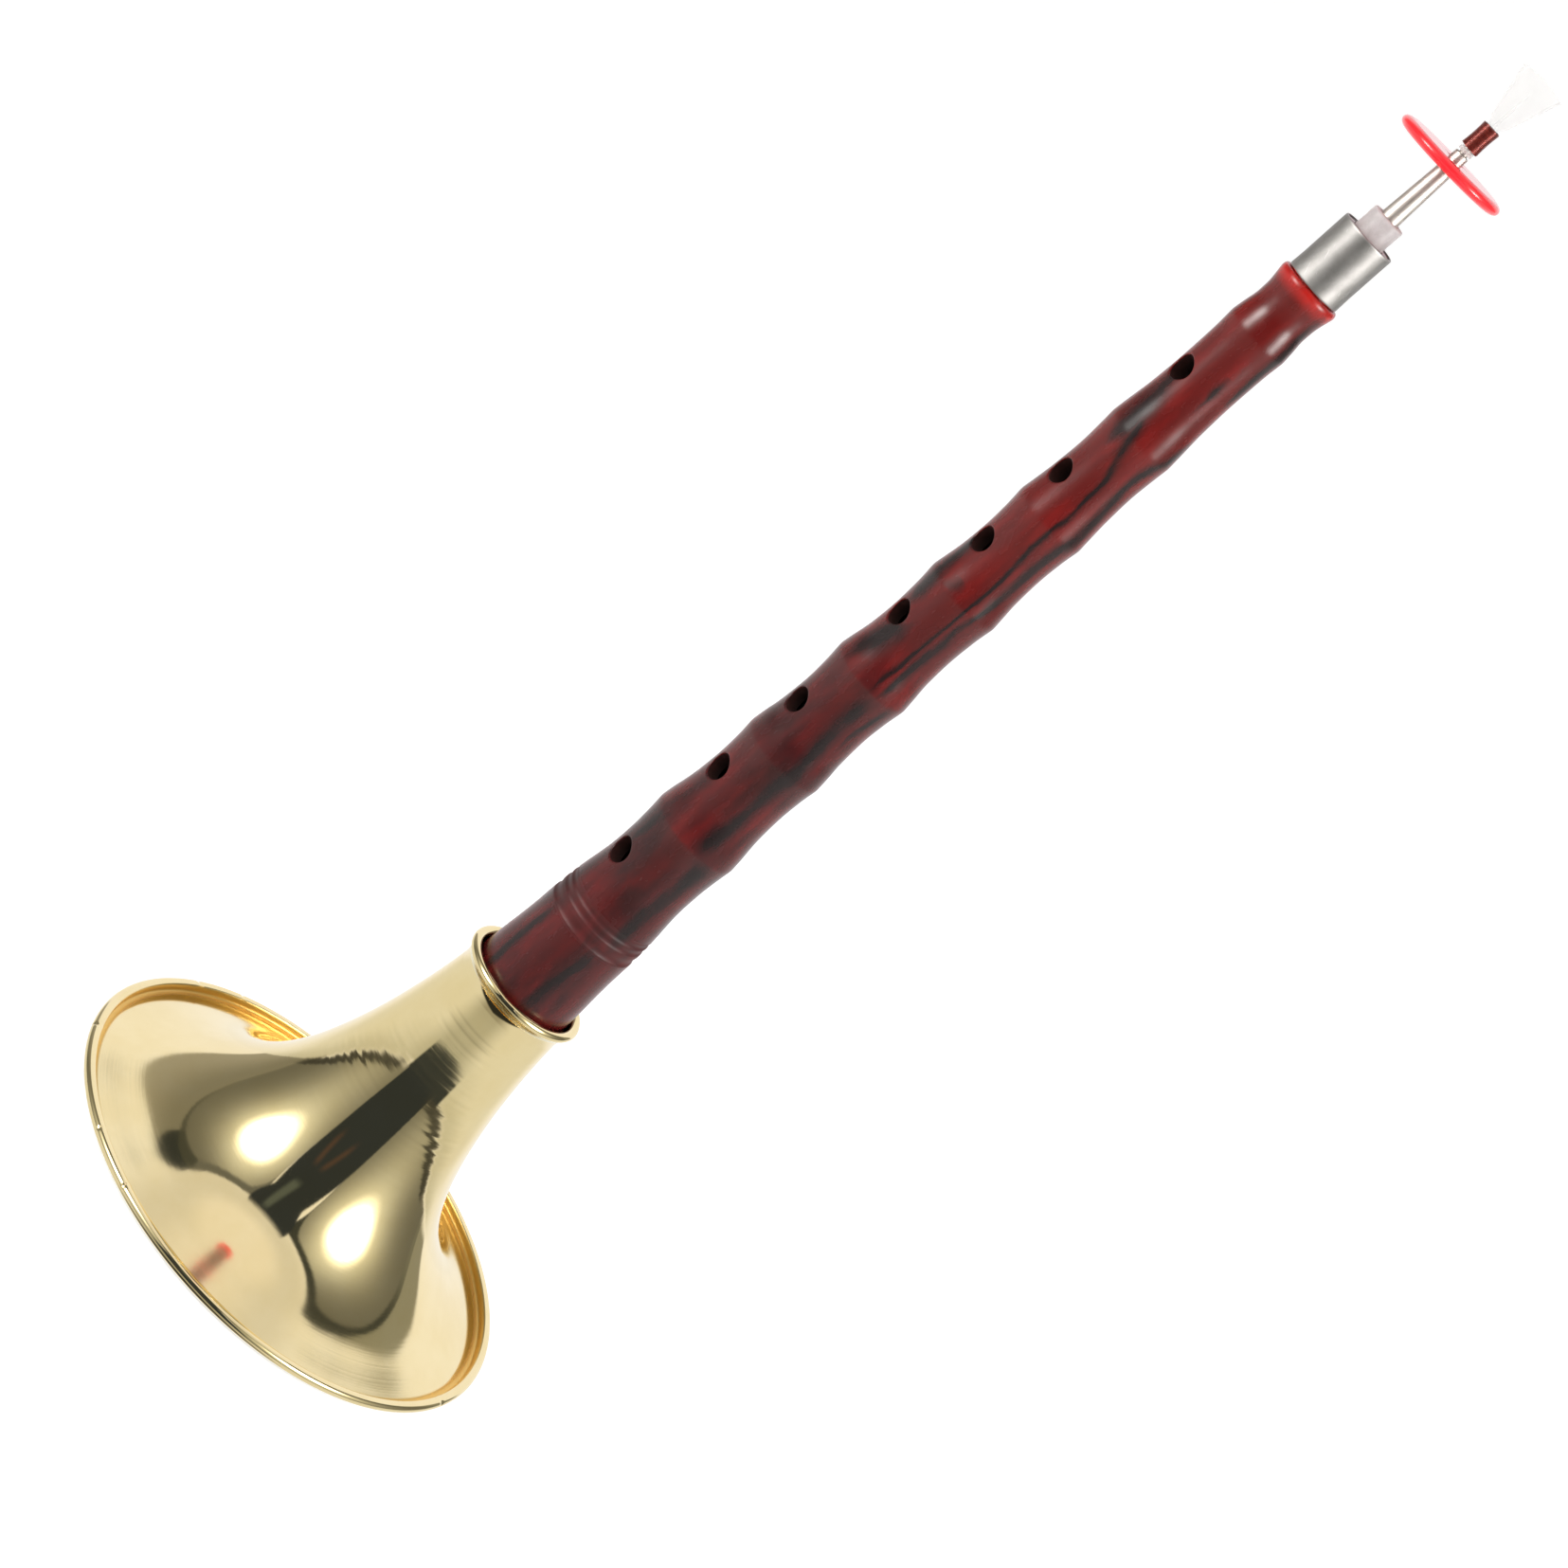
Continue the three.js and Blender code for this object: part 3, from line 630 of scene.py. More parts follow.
def make_pipe():
    n = 22                                   # cells along each side of the square round a hole
    def columns(half, rest):
        seg = []
        for centre in (-90.0, 90.0):
            seg += list(np.linspace(centre - half, centre + half, n + 1)[:-1])
            seg += list(np.linspace(centre + half, centre + 180 - half, rest + 1)[:-1])
        return np.radians(np.array(seg))
    rest = 34
    outer_a, inner_a = columns(34.0, rest), columns(70.0, rest)
    k = len(outer_a)
    start = {-90.0: 0, 90.0: n + rest}       # first column of each hole's square

    # rows from the foot up the outside, over the top and down the bore
    rows, patches = [], []

    def add(r, z, side):
        rows.append((float(r), float(z), side))
        return len(rows) - 1

    for r, z in [(10.4, 66.0), (14.7, 66.0), (15.1, 66.12), (15.3, 66.5), (15.3, 70.0), (15.3, 74.5), (15.3, 78.1),
                 (15.15, 78.3), (14.4, 78.3), (14.3, 78.4), (14.3, 83.0), (14.3, 87.8), (14.4, 87.9), (15.2, 87.9), (15.34, 88.1)]:
        add(r, z, 0)
    squares = []
    for zc, radius, facing in sorted(HOLES):
        squares.append((zc - (radius + 1.25), zc + (radius + 1.25), zc, radius, facing))
    z = 88.6
    top = 358.0
    while z < top:
        hit = next((q for q in squares if q[0] - 0.35 <= z < q[1]), None)
        if hit:
            first = len(rows)
            for zz in np.linspace(hit[0], hit[1], n + 1):
                add(pipe_r(zz), zz, 0)
            patches.append(("out", first, hit))
            z = hit[1] + 0.5
            continue
        add(pipe_r(z) if z >= 90 else 15.4, z, 0)
        z += 0.14 if 117.4 < z < 126.8 else 0.62
    for r, z in [(8.72, 358.35), (8.79, 358.8), (8.8, 359.2), (8.76, 359.6), (8.62, 359.98), (8.4, 360.24), (8.1, 360.36), (7.7, 360.4),
                 (6.9, 360.4), (6.8, 360.5), (6.8, 365.0), (6.8, 371.0), (6.8, 377.2), (6.72, 377.45), (6.5, 377.58), (6.3, 377.6)]:
        add(r, z, 0)
    for r, z in [(5.2, 377.6), (5.0, 377.52), (4.9, 377.3), (4.9, 371.0), (4.9, 362.5), (4.85, 362.2), (3.6, 362.2), (3.42, 362.1)]:
        add(r, z, 1)
    inside = []
    for zc, radius, facing in sorted(HOLES):
        inside.append((zc + (radius + 0.7), zc - (radius + 0.7), zc, radius, facing))
    inside.sort(reverse=True)
    z = 360.0
    while z > 68.5:
        hit = next((q for q in inside if q[1] < z <= q[0] + 0.8), None)
        if hit:
            first = len(rows)
            for zz in np.linspace(hit[0], hit[1], n + 1):
                add(bore_r(zz), zz, 1)
            patches.append(("in", first, hit))
            z = hit[1] - 1.2
            continue
        add(bore_r(z), z, 1)
        z -= 2.4
    add(9.8, 67.0, 1)
    add(10.0, 66.25, 1)

    verts = []
    for r, z, side in rows:
        a = inner_a if side else outer_a
        for t in a:
            verts.append((r * math.cos(t), r * math.sin(t), z))
    index = lambda i, j: (i % len(rows)) * k + (j % k)
    cut = set()
    for _, first, hit in patches:
        c0 = start[hit[4]]
        for i in range(n):
            for j in range(n):
                cut.add((first + i, (c0 + j) % k))
    faces = []
    for i in range(len(rows)):
        for j in range(k):
            if (i, j) not in cut:
                faces.append((index(i, j), index(i, j + 1), index(i + 1, j + 1), index(i + 1, j)))
    count = 4 * n
    bevel = 0.42

    def point(facing, x, z, depth):
        f = math.radians(facing)
        e = (math.cos(f), math.sin(f))
        s = (-math.sin(f), math.cos(f))
        return (e[0] * depth + s[0] * x, e[1] * depth + s[1] * x, z)

    edge_loops = {}
    for side, first, hit in patches:
        _, _, zc, radius, facing = hit
        c0 = start[facing]
        loop = ([index(first, c0 + q) for q in range(n)] + [index(first + q, c0 + n) for q in range(n)]
                + [index(first + n, c0 + n - q) for q in range(n)] + [index(first + n - q, c0) for q in range(n)])
        flip = 1.0 if side == "out" else -1.0
        surface = pipe_r if side == "out" else bore_r
        f = math.radians(facing)
        s = (-math.sin(f), math.cos(f))
        border = [(verts[i][0] * s[0] + verts[i][1] * s[1], verts[i][2]) for i in loop]
        circle = []
        for q in range(count):
            phi = math.radians(-135.0 + 360.0 * q / count)
            circle.append((math.cos(phi), flip * math.sin(phi)))
        outer_edge = radius + (bevel if side == "out" else 0.0)
        previous = loop
        steps = (0.22, 0.45, 0.66, 0.85, 1.0)
        for w in steps:
            ring = []
            for q in range(count):
                x = border[q][0] * (1 - w) + circle[q][0] * outer_edge * w
                z = border[q][1] * (1 - w) + (zc + circle[q][1] * outer_edge) * w
                depth = math.sqrt(max(float(surface(z)) ** 2 - x * x, 0.01))
                verts.append(point(facing, x, z, depth))
                ring.append(len(verts) - 1)
            for q in range(count):
                faces.append((previous[q], previous[(q + 1) % count], ring[(q + 1) % count], ring[q]))
            previous = ring
        if side == "out":
            for step in range(1, 7):
                a = math.radians(90.0 * step / 6)
                rho = radius + bevel * (1 - math.sin(a))
                drop = bevel * (1 - math.cos(a))
                ring = []
                for q in range(count):
                    x, z = circle[q][0] * rho, zc + circle[q][1] * rho
                    depth = math.sqrt(max(float(surface(z)) ** 2 - x * x, 0.01)) - drop
                    verts.append(point(facing, x, z, depth))
                    ring.append(len(verts) - 1)
                for q in range(count):
                    faces.append((previous[q], previous[(q + 1) % count], ring[(q + 1) % count], ring[q]))
                previous = ring
        # by angle, so that the outside and the inside join without a twist
        order = {}
        for q in range(count):
            ang = round(math.degrees(math.atan2(circle[q][1], circle[q][0])) * count / 360.0) % count
            order[ang] = previous[q]
        edge_loops.setdefault((zc, facing), {})[side] = order
    first_wall = len(faces)                  # from here on, the walls of the holes
    for (zc, facing), both in edge_loops.items():
        a, b = both["out"], both["in"]
        previous = [a[q] for q in range(count)]
        for w in (0.2, 0.45, 0.7):
            ring = []
            for q in range(count):
                p0, p1 = np.array(verts[a[q]]), np.array(verts[b[q]])
                verts.append(tuple(p0 * (1 - w) + p1 * w))
                ring.append(len(verts) - 1)
            for q in range(count):
                faces.append((previous[q], previous[(q + 1) % count], ring[(q + 1) % count], ring[q]))
            previous = ring
        last = [b[q] for q in range(count)]
        for q in range(count):
            faces.append((previous[q], previous[(q + 1) % count], last[(q + 1) % count], last[q]))
    obj = make_object("pipe_turned", np.array(verts) * MM, faces, sharp=38)
    finish_piece(obj, wood_material(), "pipe", "pipe")
    obj.data.materials.append(hole_material())
    for i in range(first_wall, len(faces)):
        obj.data.polygons[i].material_index = 1
    return obj


def hole_material():
    """Bare wood in the drilled holes, dark, with painted shade deepening towards the bore."""
    m, t, s = material("rosewood_hole_wall_shaded")
    x, y, z = place(t)
    deep = (x * x + y * y).power(0.5) - (z - 67.0) * -0.02168 - 9.8
    grain = noise(t, vector(t, x * 1.4, y * 1.4, z * 0.3), 1.0, 4, 0.6)
    col = mix(t, grain.ramp(0.35, 0.65), (0.030, 0.0105, 0.0090), (0.048, 0.0140, 0.0115))
    # painted shade: darker deeper in the hole, towards the bore
    col = mix(t, deep.ramp(0.4, 3.0, 0.85, 0.0), col, (0.012, 0.0060, 0.0052))
    t.links.new(col, s.inputs["Base Color"])
    t.links.new((grain * 0.15 + 0.42).s, s.inputs["Roughness"])
    bump(t, s, grain, 0.2, 0.05)
    return m


# dark figure in the wood: (height mm, angle from the viewer's side, half width), degrees
FIGURE = [
    [(92, 15, 5), (97, 17, 7), (104, 17, 8), (111, 22, 8), (117, 25, 9), (121, 28, 4)],
    [(91, -43, 4), (103, -44, 5), (114, -46, 5), (118, -46, 2)],
    [(102, -5, 2), (108.5, -8, 5), (114, -6, 2)],
    [(121, 34, 5), (132, 34, 9), (143, 36, 12), (154, 36, 15), (157, 34, 8)],
    [(135, -14, 6), (141, -13, 17), (147, -11, 25), (154.5, -7, 25), (157, -6, 10)],
    [(141, -54, 4), (145, -52, 8), (150, -48, 11), (156, -44, 11), (160, -42, 4)],
    [(155.5, 19, 9), (160, 20, 13), (166, 21, 11), (177.5, 22, 12), (187, 21, 14), (190, 24, 10), (200.6, 22, 10), (208, 18, 11), (217, 22, 9)],
    [(158, -8, 2), (161, -6, 7), (165, -5, 2)],
    [(188, -18, 3), (190.5, -16, 8), (193, -14, 3)],
    [(200, 46, 2), (204, 46, 4), (210, 49, 6), (216, 51, 7), (219, 52, 3)],
    [(217, 11, 2), (228, 14, 3.2), (239, 16, 3), (249, 18, 3), (257, 21, 3), (263, 20, 3.2), (272, 13, 3.8), (278, 12, 3.4), (283, 17, 3.6), (288, 15, 3.4), (293, 12.5, 4), (298, 6, 5), (304, -5, 7), (310, -15, 7), (315, -26, 5)],
    [(217, 24, 4), (228, 29, 6), (238, 33, 7), (248.5, 34, 4), (252, 40, 5), (260, 44, 8), (269, 43, 10), (277, 47, 10), (282, 54, 9), (292, 49, 8), (299, 43, 8), (304, 49, 9), (310, 66, 10), (315, 74, 5)],
    [(217.5, -46, 4), (221, -44, 9), (225, -41, 15), (230, -35, 17), (234, -22, 10), (238, -15, 3)],
    [(237, -56, 6), (241, -56, 12), (246, -54, 15), (252, -57, 14), (259, -62, 14), (265, -68, 6)],
    [(248, -27, 4), (250, -24, 9), (252.5, -17, 10), (254.5, -20, 3)],
    [(301, -31, 3), (304, -30, 9), (307, -30, 15), (312, -35, 18), (318, -41, 16), (323, -46, 11), (329, -52, 6)],
    [(322, 26, 2), (325, 26, 3), (329, 24, 7), (334, 23, 2)],
    [(326, 63, 5), (334, 62, 10), (341, 61, 11), (347, 64, 13), (355, 58, 11), (358.5, 57, 6)],
]


FAINT = {2: 0.30, 4: 0.48, 7: 0.60, 8: 0.60}        # strokes that are only a shade, by their place in the list


def wood_material():
    m, t, s = material("rosewood_red")
    x, y, z = place(t)
    across = x * V.x + y * V.y
    aside = (x * U.x + y * U.y) * -1.0
    angle = aside.atan2(across) * (180.0 / math.pi)
    # wander of the figure
    w1 = noise(t, vector(t, x * 0.13, y * 0.13, z * 0.05), 1.0, 3, 0.55)
    w2 = noise(t, vector(t, x * 0.45, y * 0.45, z * 0.16 + 7.0), 1.0, 3, 0.6)
    a = angle + (w1 - 0.5) * 13.0 + (w2 - 0.5) * 9.0
    h = (z - 85.0) * (1.0 / 280.0) + (w1 - 0.5) * 0.012
    dark = None
    for n, stroke in enumerate(FIGURE):
        pts = [((q[0] - 85.0) / 280.0, q[1] / 200.0 + 0.5) for q in stroke]
        wid = [((q[0] - 85.0) / 280.0, q[2] / 40.0) for q in stroke]
        mid = (curve(h, pts) - 0.5) * 200.0
        half = curve(h, wid) * 40.0
        off = (a - mid).abs() / half.max(0.5)
        near = (off * off * -0.58)._op("EXPONENT")
        lo, hi = pts[0][0], pts[-1][0]
        near = near * h.window(lo + 0.004, hi - 0.004, 0.020) * FAINT.get(n, 1.0)
        dark = near if dark is None else dark.max(near)
    # the figure is smoke in the wood: soft at its edges, drawn out along the fibres
    fibre = noise(t, vector(t, x * 0.9, y * 0.9, z * 0.05 + 2.0), 1.0, 5, 0.66, 0.3)
    cloudy = noise(t, vector(t, x * 0.22, y * 0.22, z * 0.09 + 4.0), 1.0, 4, 0.6)
    dark = (dark * (fibre * 0.65 + cloudy * 1.05 + 0.15)).ramp(0.06, 0.95, smooth=False)
    s1 = noise(t, vector(t, x * 0.21, y * 0.21, z * 0.022 + 3.0), 1.0, 5, 0.62, 0.9)
    s2 = noise(t, vector(t, x * 0.7, y * 0.7, z * 0.05), 1.0, 5, 0.65, 0.5)
    # painted shade: the broad dark streaks of figure gather on the flanks turned from the viewer's side, darkening
    # them
    painted_flank_shade = angle.abs().ramp(62, 95)
    broad = s1.ramp(0.42, 0.70) * (painted_flank_shade * 0.75 + 0.12)
    thin = s2.ramp(0.48, 0.76) * z.ramp(200, 300, 0.17, 0.14)
    low = z.ramp(175, 275, 1.0, 0.0)
    smoke = noise(t, vector(t, x * 0.13, y * 0.13, z * 0.055 + 11.0), 1.0, 3, 0.50)
    veil = smoke.ramp(0.38, 0.66) * low * 0.62
    shade = (dark * 0.95).max(broad).max(thin).max(veil)
    red = mix(t, z.ramp(185, 300), (0.066, 0.0046, 0.0050), (0.094, 0.0048, 0.0040))
    # painted highlight: the flared top rim is painted a bright red, for the light falling on it
    red = mix(t, z.ramp(355.5, 359.3), red, (0.34, 0.010, 0.007))
    lively = noise(t, vector(t, x * 0.26, y * 0.26, z * 0.06 + 5.0), 1.0, 4, 0.55).ramp(0.42, 0.70)
    red = mix(t, lively * 0.55, red, mix(t, z.ramp(150, 260), (0.140, 0.0066, 0.0066), (0.178, 0.0068, 0.0056)))
    # painted reflection: below each joint a greyer band stands in for the pale sheen that the slope facing down
    # mirrors; it ends sharply at the joint's edge
    painted_sheen_band = None
    for crest, much in ((155.7, 0.56), (187.0, 0.54), (217.5, 0.46), (248.5, 0.12)):
        one = z.ramp(crest - 11.0, crest - 1.5) * z.ramp(crest - 0.35, crest + 0.25, 1.0, 0.0) * much
        painted_sheen_band = one if painted_sheen_band is None else painted_sheen_band.max(one)
    red = mix(t, painted_sheen_band * (cloudy * 0.8 + 0.6).min(1.0), red, (0.066, 0.0155, 0.0150))
    black = (0.0078, 0.0052, 0.0058)
    col = mix(t, shade, red, black)
    # painted shade: the walls of the holes and the bore are darkened nearly to black, most towards the bore
    depth = (x * x + y * y).power(0.5) - (z.max(67.0) - 67.0) * -0.02168 - 9.8
    col = mix(t, depth.ramp(0.6, 2.6, 0.92, 0.0) * z.ramp(360.5, 361.5, 1.0, 0.0), col, (0.010, 0.0055, 0.0050))
    # pores: fine, short and dark
    pores = noise(t, vector(t, x * 3.2, y * 3.2, z * 0.34), 1.0, 2, 0.5).ramp(0.66, 0.78) * 0.09
    col = mix(t, pores, col, black)
    t.links.new(col, s.inputs["Base Color"])
    gloss = noise(t, vector(t, x * 0.5, y * 0.5, z * 0.2), 1.0, 3, 0.5)
    # wax and dust lie in the turned lines and dull them
    rough = gloss * 0.05 + z.window(117.6, 126.6, 0.4) * 0.24 + 0.245
    t.links.new(rough.s, s.inputs["Roughness"])
    s.inputs["Specular IOR Level"].default_value = 0.39
    grain = noise(t, vector(t, x * 2.2, y * 2.2, z * 0.25), 1.0, 3, 0.55)
    turned_marks = noise(t, vector(t, x * 0.02, y * 0.02, z * 2.6), 1.0, 3, 0.6)
    bump(t, s, grain * 0.5 + turned_marks * 0.4 - pores * 0.8, 0.075, 0.05)
    return m


# ------------------------------------------------------------------ cork
def make_cork():
    prof = [(14.62, 78.7), (15.2, 78.66)] + arc(15.25, 79.05, 0.33, 0.4, -90, 0, 5) \
        + [(15.59, 80.4), (15.59, 82.0), (15.59, 84.0), (15.59, 86.0)] + arc(15.2, 87.1, 0.38, 0.42, 0, 90, 5) + [(14.62, 87.5), (14.61, 83.0)]
    verts, faces = lathe_data(prof, np.arange(160) * 2.25)
    v = verts / MM
    a = np.arctan2(v[:, 1], v[:, 0])
    r = np.hypot(v[:, 0], v[:, 1])
    d = (-0.03 + 0.03 * np.sin(9 * a + v[:, 2]) * np.sin(14 * a - 2 * v[:, 2])) * (r > 15.3)
    v[:, :2] *= ((r + d) / r)[:, None]
    obj = make_object("cork_wrap", v * MM, faces, sharp=45)
    m, t, s = material("cork_fine")
    x, y, z = place(t)
    at = vector(t, x, y, z)
    grain = noise(t, at, 1.6, 5, 0.7)
    pits = noise(t, at, 3.4, 2, 0.5).ramp(0.60, 0.68)
    col = mix(t, grain.ramp(0.35, 0.65), (0.47, 0.27, 0.12), (0.66, 0.44, 0.23))
    col = mix(t, pits * 0.8, col, (0.17, 0.085, 0.04))
    t.links.new(col, s.inputs["Base Color"])
    t.links.new((grain * 0.15 + 0.75).s, s.inputs["Roughness"])
    bump(t, s, grain * 0.5 - pits, 0.6, 0.15)
    return finish_piece(obj, m, "pipe", "tenon_cork")


# ------------------------------------------------------------------ sleeve
def make_sleeve():
    prof = [(7.11, 360.78), (7.72, 360.76), (7.795, 360.86), (7.785, 361.2), (7.74, 362.4), (7.705, 363.8)]
    prof += [(7.68, z) for z in np.arange(364.6, 376.7, 0.7)]
    prof += [(7.675, 377.1)] + arc(7.36, 377.35, 0.305, 0.55, 0, 90, 9, 0.9) + [(7.13, 377.87), (7.1, 377.7), (7.1, 370.0), (7.1, 363.0)]
    obj = turned("sleeve_ferrule", prof, 192, 40)
    m, t, s = material("ferrule_satin")
    x, y, z = place(t)
    a = y.atan2(x)
    brushed = noise(t, vector(t, a * 0.7, 0.0, z * 5.5), 1.0, 3, 0.6)
    marks = noise(t, vector(t, a * 9.0 + z * 0.55, z * 0.12, 0.0), 1.0, 3, 0.65, 0.4)
    scratch = marks.ramp(0.640, 0.665) * marks.ramp(0.675, 0.70, 1.0, 0.0)
    cloud = noise(t, vector(t, x * 0.3, y * 0.3, z * 0.3), 1.0, 4, 0.6)
    tone = mix(t, cloud.ramp(0.3, 0.7), (0.290, 0.278, 0.272), (0.345, 0.332, 0.326))
    tone = mix(t, scratch * 0.5, tone, (0.58, 0.57, 0.56))
    # painted light: the rounded lip at the top gets a paler tone than the body, for the light it catches
    tone = mix(t, z.ramp(377.2, 377.6), tone, (0.40, 0.385, 0.385))
    t.links.new(tone, s.inputs["Base Color"])
    s.inputs["Metallic"].default_value = 1.0
    rough = brushed * 0.08 + cloud * 0.06 + 0.43
    t.links.new(rough.s, s.inputs["Roughness"])
    bump(t, s, brushed * 0.5 + cloud * 0.3 - scratch * 0.7, 0.35, 0.03)
    return finish_piece(obj, m, "pipe", "top_sleeve")


# ------------------------------------------------------------------ plug
def staple_r(z):
    return 2.6 + (384.0 - z) * 0.031


def make_plug():
    bore = [(staple_r(z) + 0.3, z) for z in (383.75, 378.0, 370.0, 362.7)]
    prof = [(bore[-1][0] + 0.2, 362.5)] + [(4.2, 362.5)] + arc(4.25, 362.9, 0.35, 0.4, -90, 0, 4)
    prof += [(4.6, z) for z in (365.0, 370.0, 375.0, 379.0, 381.0, 382.4, 383.2)]
    prof += arc(4.05, 383.45, 0.55, 0.55, 0, 90, 8) + [(3.4, 384.0), (3.1, 383.94)] + bore
    obj = turned("plug_moulded", prof, 128, 40)
    m, t, s = material("plug_frosted")
    x, y, z = place(t)
    at = vector(t, x, y, z)
    cloud = noise(t, at, 0.55, 4, 0.6)
    frost = noise(t, at, 6.0, 3, 0.6)
    col = mix(t, cloud.ramp(0.3, 0.7), (0.375, 0.340, 0.348), (0.445, 0.408, 0.418))
    t.links.new(col, s.inputs["Base Color"])
    t.links.new((frost * 0.16 + 0.36).s, s.inputs["Roughness"])
    s.inputs["Subsurface Weight"].default_value = 0.25
    s.inputs["Subsurface Radius"].default_value = (1.0, 0.95, 0.95)
    s.inputs["Subsurface Scale"].default_value = 0.0012
    bump(t, s, frost * 0.5 + cloud * 0.5, 0.25, 0.04)
    return finish_piece(obj, m, "plug", "staple_plug")


# ------------------------------------------------------------------ staple
def make_staple():
    prof = [(staple_r(363.0) - 0.38, 363.05), (staple_r(363.0) - 0.1, 363.0), (staple_r(363.2), 363.25)]
    prof += [(staple_r(z), z) for z in np.arange(364.0, 405.2, 1.0)]
    prof += [(staple_r(405.4), 405.4), (staple_r(405.6) - 0.06, 405.62), (staple_r(405.7) - 0.2, 405.7), (1.28, 405.7), (1.2, 405.8)]
    prof += [(1.185, 407.5), (1.15, 410.0), (1.11, 413.2), (1.07, 413.42), (0.98, 413.5), (0.82, 413.5), (0.78, 413.3)]
    prof += [(0.78, 409.0), (0.78, 405.0), (0.95, 404.0), (1.4, 403.0)]
    prof += [(max(staple_r(z) - 0.42, 1.4), z) for z in (400.0, 390.0, 380.0, 370.0)]
    obj = turned("staple_tube", prof, 96, 40)
    m, t, s = material("staple_nickel")
    x, y, z = place(t)
    a = y.atan2(x)
    drawn = noise(t, vector(t, a * 6.0, z * 0.06, 0.0), 1.0, 3, 0.6)
    cloud = noise(t, vector(t, x * 0.5, y * 0.5, z * 0.25), 1.0, 4, 0.6)
    tone = mix(t, cloud.ramp(0.3, 0.7), (0.53, 0.480, 0.450), (0.59, 0.545, 0.515))
    t.links.new(tone, s.inputs["Base Color"])
    s.inputs["Metallic"].default_value = 1.0
    t.links.new((cloud * 0.06 + drawn * 0.04 + 0.42).s, s.inputs["Roughness"])
    bump(t, s, drawn * 0.3 + cloud * 0.4, 0.08, 0.02)
    return finish_piece(obj, m, "staple", "staple")


# ------------------------------------------------------------------ lip disc
def make_disc():
    h = 1.5
    nose = arc(13.1, 0.0, 2.6, h, -90, 90, 30, 0.92)
    prof = [(2.42, -h + 0.25), (2.55, -h + 0.07), (2.8, -h), (5.0, -h), (9.0, -h), (12.0, -h)] + nose
    prof += [(12.0, h), (9.0, h), (5.0, h), (2.8, h), (2.55, h - 0.07), (2.42, h - 0.25), (2.42, 0.0)]
    verts, faces = lathe_data(prof, np.arange(200) * 1.8)
    q = Quaternion(Vector((0.0255, -0.0319, 0.0)).normalized(), 0.0408)
    rot = np.array(q.to_matrix())
    verts = verts @ rot.T + np.array([0, 0, 402.2 * MM])
    obj = make_object("lip_plate", verts, faces, sharp=40)
    m, t, s = material("disc_red_gloss")
    x, y, z = place(t)
    at = vector(t, x, y, z)
    cloud = noise(t, at, 0.2, 3, 0.6)
    rub = noise(t, at, 1.6, 4, 0.65)
    col = mix(t, cloud.ramp(0.3, 0.7), (0.84, 0.0180, 0.0260), (0.88, 0.0230, 0.0330))
    t.links.new(col, s.inputs["Base Color"])
    t.links.new((rub * 0.06 + 0.09).s, s.inputs["Roughness"])
    bump(t, s, cloud * 0.8 + rub * 0.2, 0.06, 0.05)
    return finish_piece(obj, m, "disc", "lip_disc")


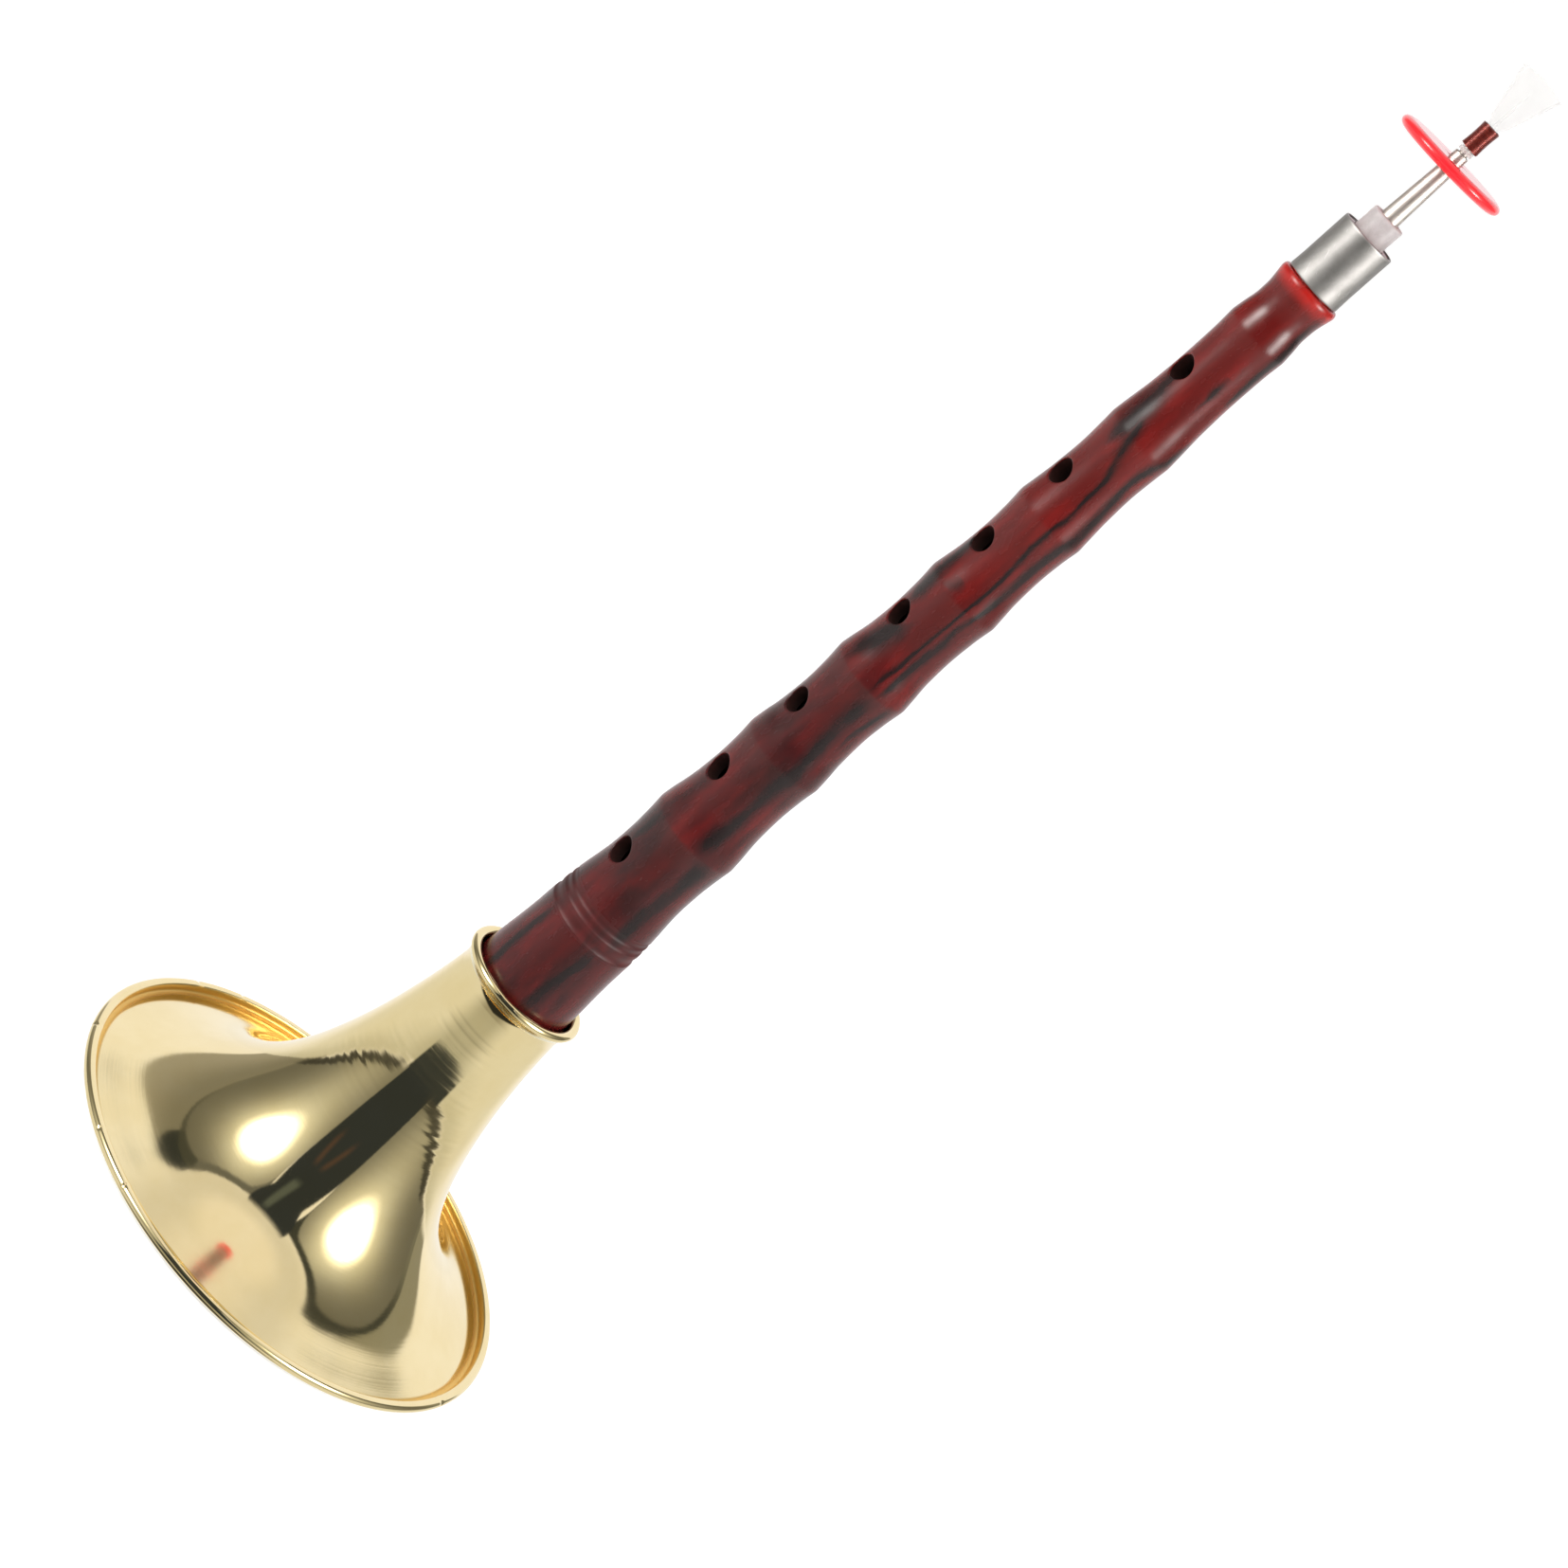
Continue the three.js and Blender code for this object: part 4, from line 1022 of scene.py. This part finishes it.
# ------------------------------------------------------------------ reed and winding
def make_reed():
    turn = math.radians(52.8)
    c, s_ = math.cos(turn), math.sin(turn)
    around = 96
    verts, faces = [], []

    def ring(z, outer):
        out = []
        for q in range(around):
            a = 2 * math.pi * q / around
            ca, sa = math.cos(a), math.sin(a)
            zz = z
            if z < 414.9:
                r = (1.95 + (1.75 - 1.95) * min(max((z - 407.1) / 0.3, 0), 1)) if outer else 1.45
                w = h = r
                px, py = w * ca, h * sa
            else:
                t = (z - 415.0) / 15.0
                t = min(max(t, 0.0), 1.0)
                w = 2.15 + (6.35 - 2.15) * t ** 0.97
                h = 1.75 + (0.44 - 1.75) * t ** 0.8
                if not outer:
                    w -= 0.34
                    h = 1.45 + (0.16 - 1.45) * t ** 0.8
                start = min((z - 414.9) / 1.6, 1.0)
                w = w * start + (1.75 if outer else 1.45) * (1 - start)
                # the blades are pressed flat, so the section ends in a fold on each side
                p = 1.0 + 0.25 * t
                px = w * ca
                py = h * math.copysign(abs(sa) ** p, sa)
                # a crease runs up the middle of each blade and dies out
                crease = 0.20 * max(0.0, 1 - t / 0.72) * min((z - 414.9) / 1.2, 1.0) * math.exp(-(px / 0.34) ** 2)
                py -= math.copysign(crease, sa)
                zz = z - 0.8 * t * t * ca * ca
            out.append(len(verts))
            verts.append((px * c - py * s_, px * s_ + py * c, zz))
        return out

    zo = [406.2, 406.5, 407.0, 407.15, 407.3, 407.5, 409, 411, 413, 414.4, 414.9, 415.2, 415.6, 416.1, 416.6]
    zo += list(np.arange(417.2, 429.8, 0.55)) + [429.85, 430.0]
    zi = [430.0, 429.6] + list(np.arange(429.0, 416.4, -0.8)) + [416.1, 415.5, 414.9, 414.0, 411.0, 407.0, 406.2]
    loops = [ring(z, True) for z in zo] + [ring(z, False) for z in zi]
    for i in range(len(loops)):
        p0, p1 = loops[i], loops[(i + 1) % len(loops)]
        for q in range(around):
            q2 = (q + 1) % around
            faces.append((p0[q], p0[q2], p1[q2], p1[q]))
    obj = make_object("reed_blades", np.array(verts) * MM, faces, sharp=50)
    m, t, s = material("reed_film")
    x, y, z = place(t)
    cloud = noise(t, vector(t, x * 0.8, y * 0.8, z * 0.3), 1.0, 3, 0.6)
    streak = noise(t, vector(t, x * 3.0, y * 3.0, z * 0.2), 1.0, 3, 0.6)
    col = mix(t, cloud.ramp(0.3, 0.7), (0.70, 0.69, 0.69), (0.62, 0.61, 0.61))
    t.links.new(col, s.inputs["Base Color"])
    t.links.new((streak * 0.12 + 0.30).s, s.inputs["Roughness"])
    s.inputs["Specular IOR Level"].default_value = 0.30
    # the film is clearest in the blades and shows in the tube below the wire; it also shows at their folds and along
    # the crease, painted shade lines that stand in for the grey edges the bent film takes in the light
    broad = x * c + y * s_
    across = (broad.abs() / (z.ramp(415.0, 430.0, 2.0, 6.2, smooth=False))).min(1.2)
    folds = across.ramp(0.90, 0.99) * z.ramp(415.0, 416.0)
    crease = broad.abs().ramp(0.1, 0.5, 1.0, 0.0) * z.window(415.2, 424.5, 0.3, 2.5)
    tube = z.ramp(407.2, 407.5, 1.0, 0.0)
    clear = (folds * 0.10).max(crease * 0.12).max(tube * 0.30) + 0.13
    t.links.new(clear.s, s.inputs["Alpha"])
    s.inputs["IOR"].default_value = 1.45
    bump(t, s, streak * 0.7 + cloud * 0.3, 0.2, 0.03)
    return finish_piece(obj, m, "reed", "reed")


def make_winding():
    wire = 0.132
    z0, z1 = 407.5 + wire, 414.6 - wire
    pitch = 2 * wire * 0.985
    turns = (z1 - z0) / pitch
    steps = int(turns * 56)
    sides = 8
    verts, faces = [], []

    def radius(z):
        t = (z - 407.5) / 7.1
        waist = 2.39 + 0.175 * (2 * t - 1) ** 2
        ends = 1.0 - 0.03 * math.exp(-((z - 407.5) / 0.25) ** 2) - 0.03 * math.exp(-((z - 414.6) / 0.25) ** 2)
        return waist * ends - wire

    for i in range(steps + 1):
        f = i / steps
        a = 2 * math.pi * turns * f
        z = z0 + (z1 - z0) * f + 0.012 * math.sin(a * 0.37 + 1.0) + 0.008 * math.sin(a * 1.13)
        z = min(max(z, z0), z1)
        r = radius(z) - 0.004 + 0.004 * math.sin(a * 0.61)
        if i < 14:
            r -= wire * 1.2 * (1 - i / 14)
        if steps - i < 14:
            r -= wire * 1.2 * (1 - (steps - i) / 14)
        ca, sa = math.cos(a), math.sin(a)
        for q in range(sides):
            b = 2 * math.pi * q / sides
            rr = r + wire * math.cos(b)
            verts.append((rr * ca, rr * sa, z + wire * math.sin(b)))
    for i in range(steps):
        for q in range(sides):
            q2 = (q + 1) % sides
            faces.append((i * sides + q, i * sides + q2, (i + 1) * sides + q2, (i + 1) * sides + q))
    faces.append(tuple(range(sides)))
    faces.append(tuple(steps * sides + q for q in range(sides))[::-1])
    # the lower layer of turns, which closes the gaps
    core, core_faces = lathe_data([(2.0, 407.62), (2.06, 407.62), (2.09, 408.2), (2.09, 413.9), (2.06, 414.48), (2.0, 414.48)], np.arange(64) * 5.625)
    base = len(verts)
    verts = np.vstack([np.array(verts) * MM, core])
    faces += [tuple(i + base for i in f) for f in core_faces]
    obj = make_object("winding_coil", verts, faces, sharp=60)
    m, t, s = material("wire_enamel")
    x, y, z = place(t)
    a = y.atan2(x)
    tone_n = noise(t, vector(t, a * 0.8, z * 1.3, 0.0), 1.0, 3, 0.6)
    fine = noise(t, vector(t, x * 3.0, y * 3.0, z * 3.0), 1.0, 2, 0.5)
    col = mix(t, tone_n.ramp(0.3, 0.7), (0.17, 0.024, 0.017), (0.29, 0.052, 0.036))
    t.links.new(col, s.inputs["Base Color"])
    s.inputs["Metallic"].default_value = 0.75
    s.inputs["Coat Weight"].default_value = 0.7
    s.inputs["Coat Roughness"].default_value = 0.12
    t.links.new((fine * 0.10 + 0.20).s, s.inputs["Roughness"])
    bump(t, s, fine, 0.15, 0.02)
    return finish_piece(obj, m, "reed", "reed_winding")


make_bell()
make_pipe()
make_cork()
make_sleeve()
make_plug()
make_staple()
make_disc()
make_reed()
make_winding()
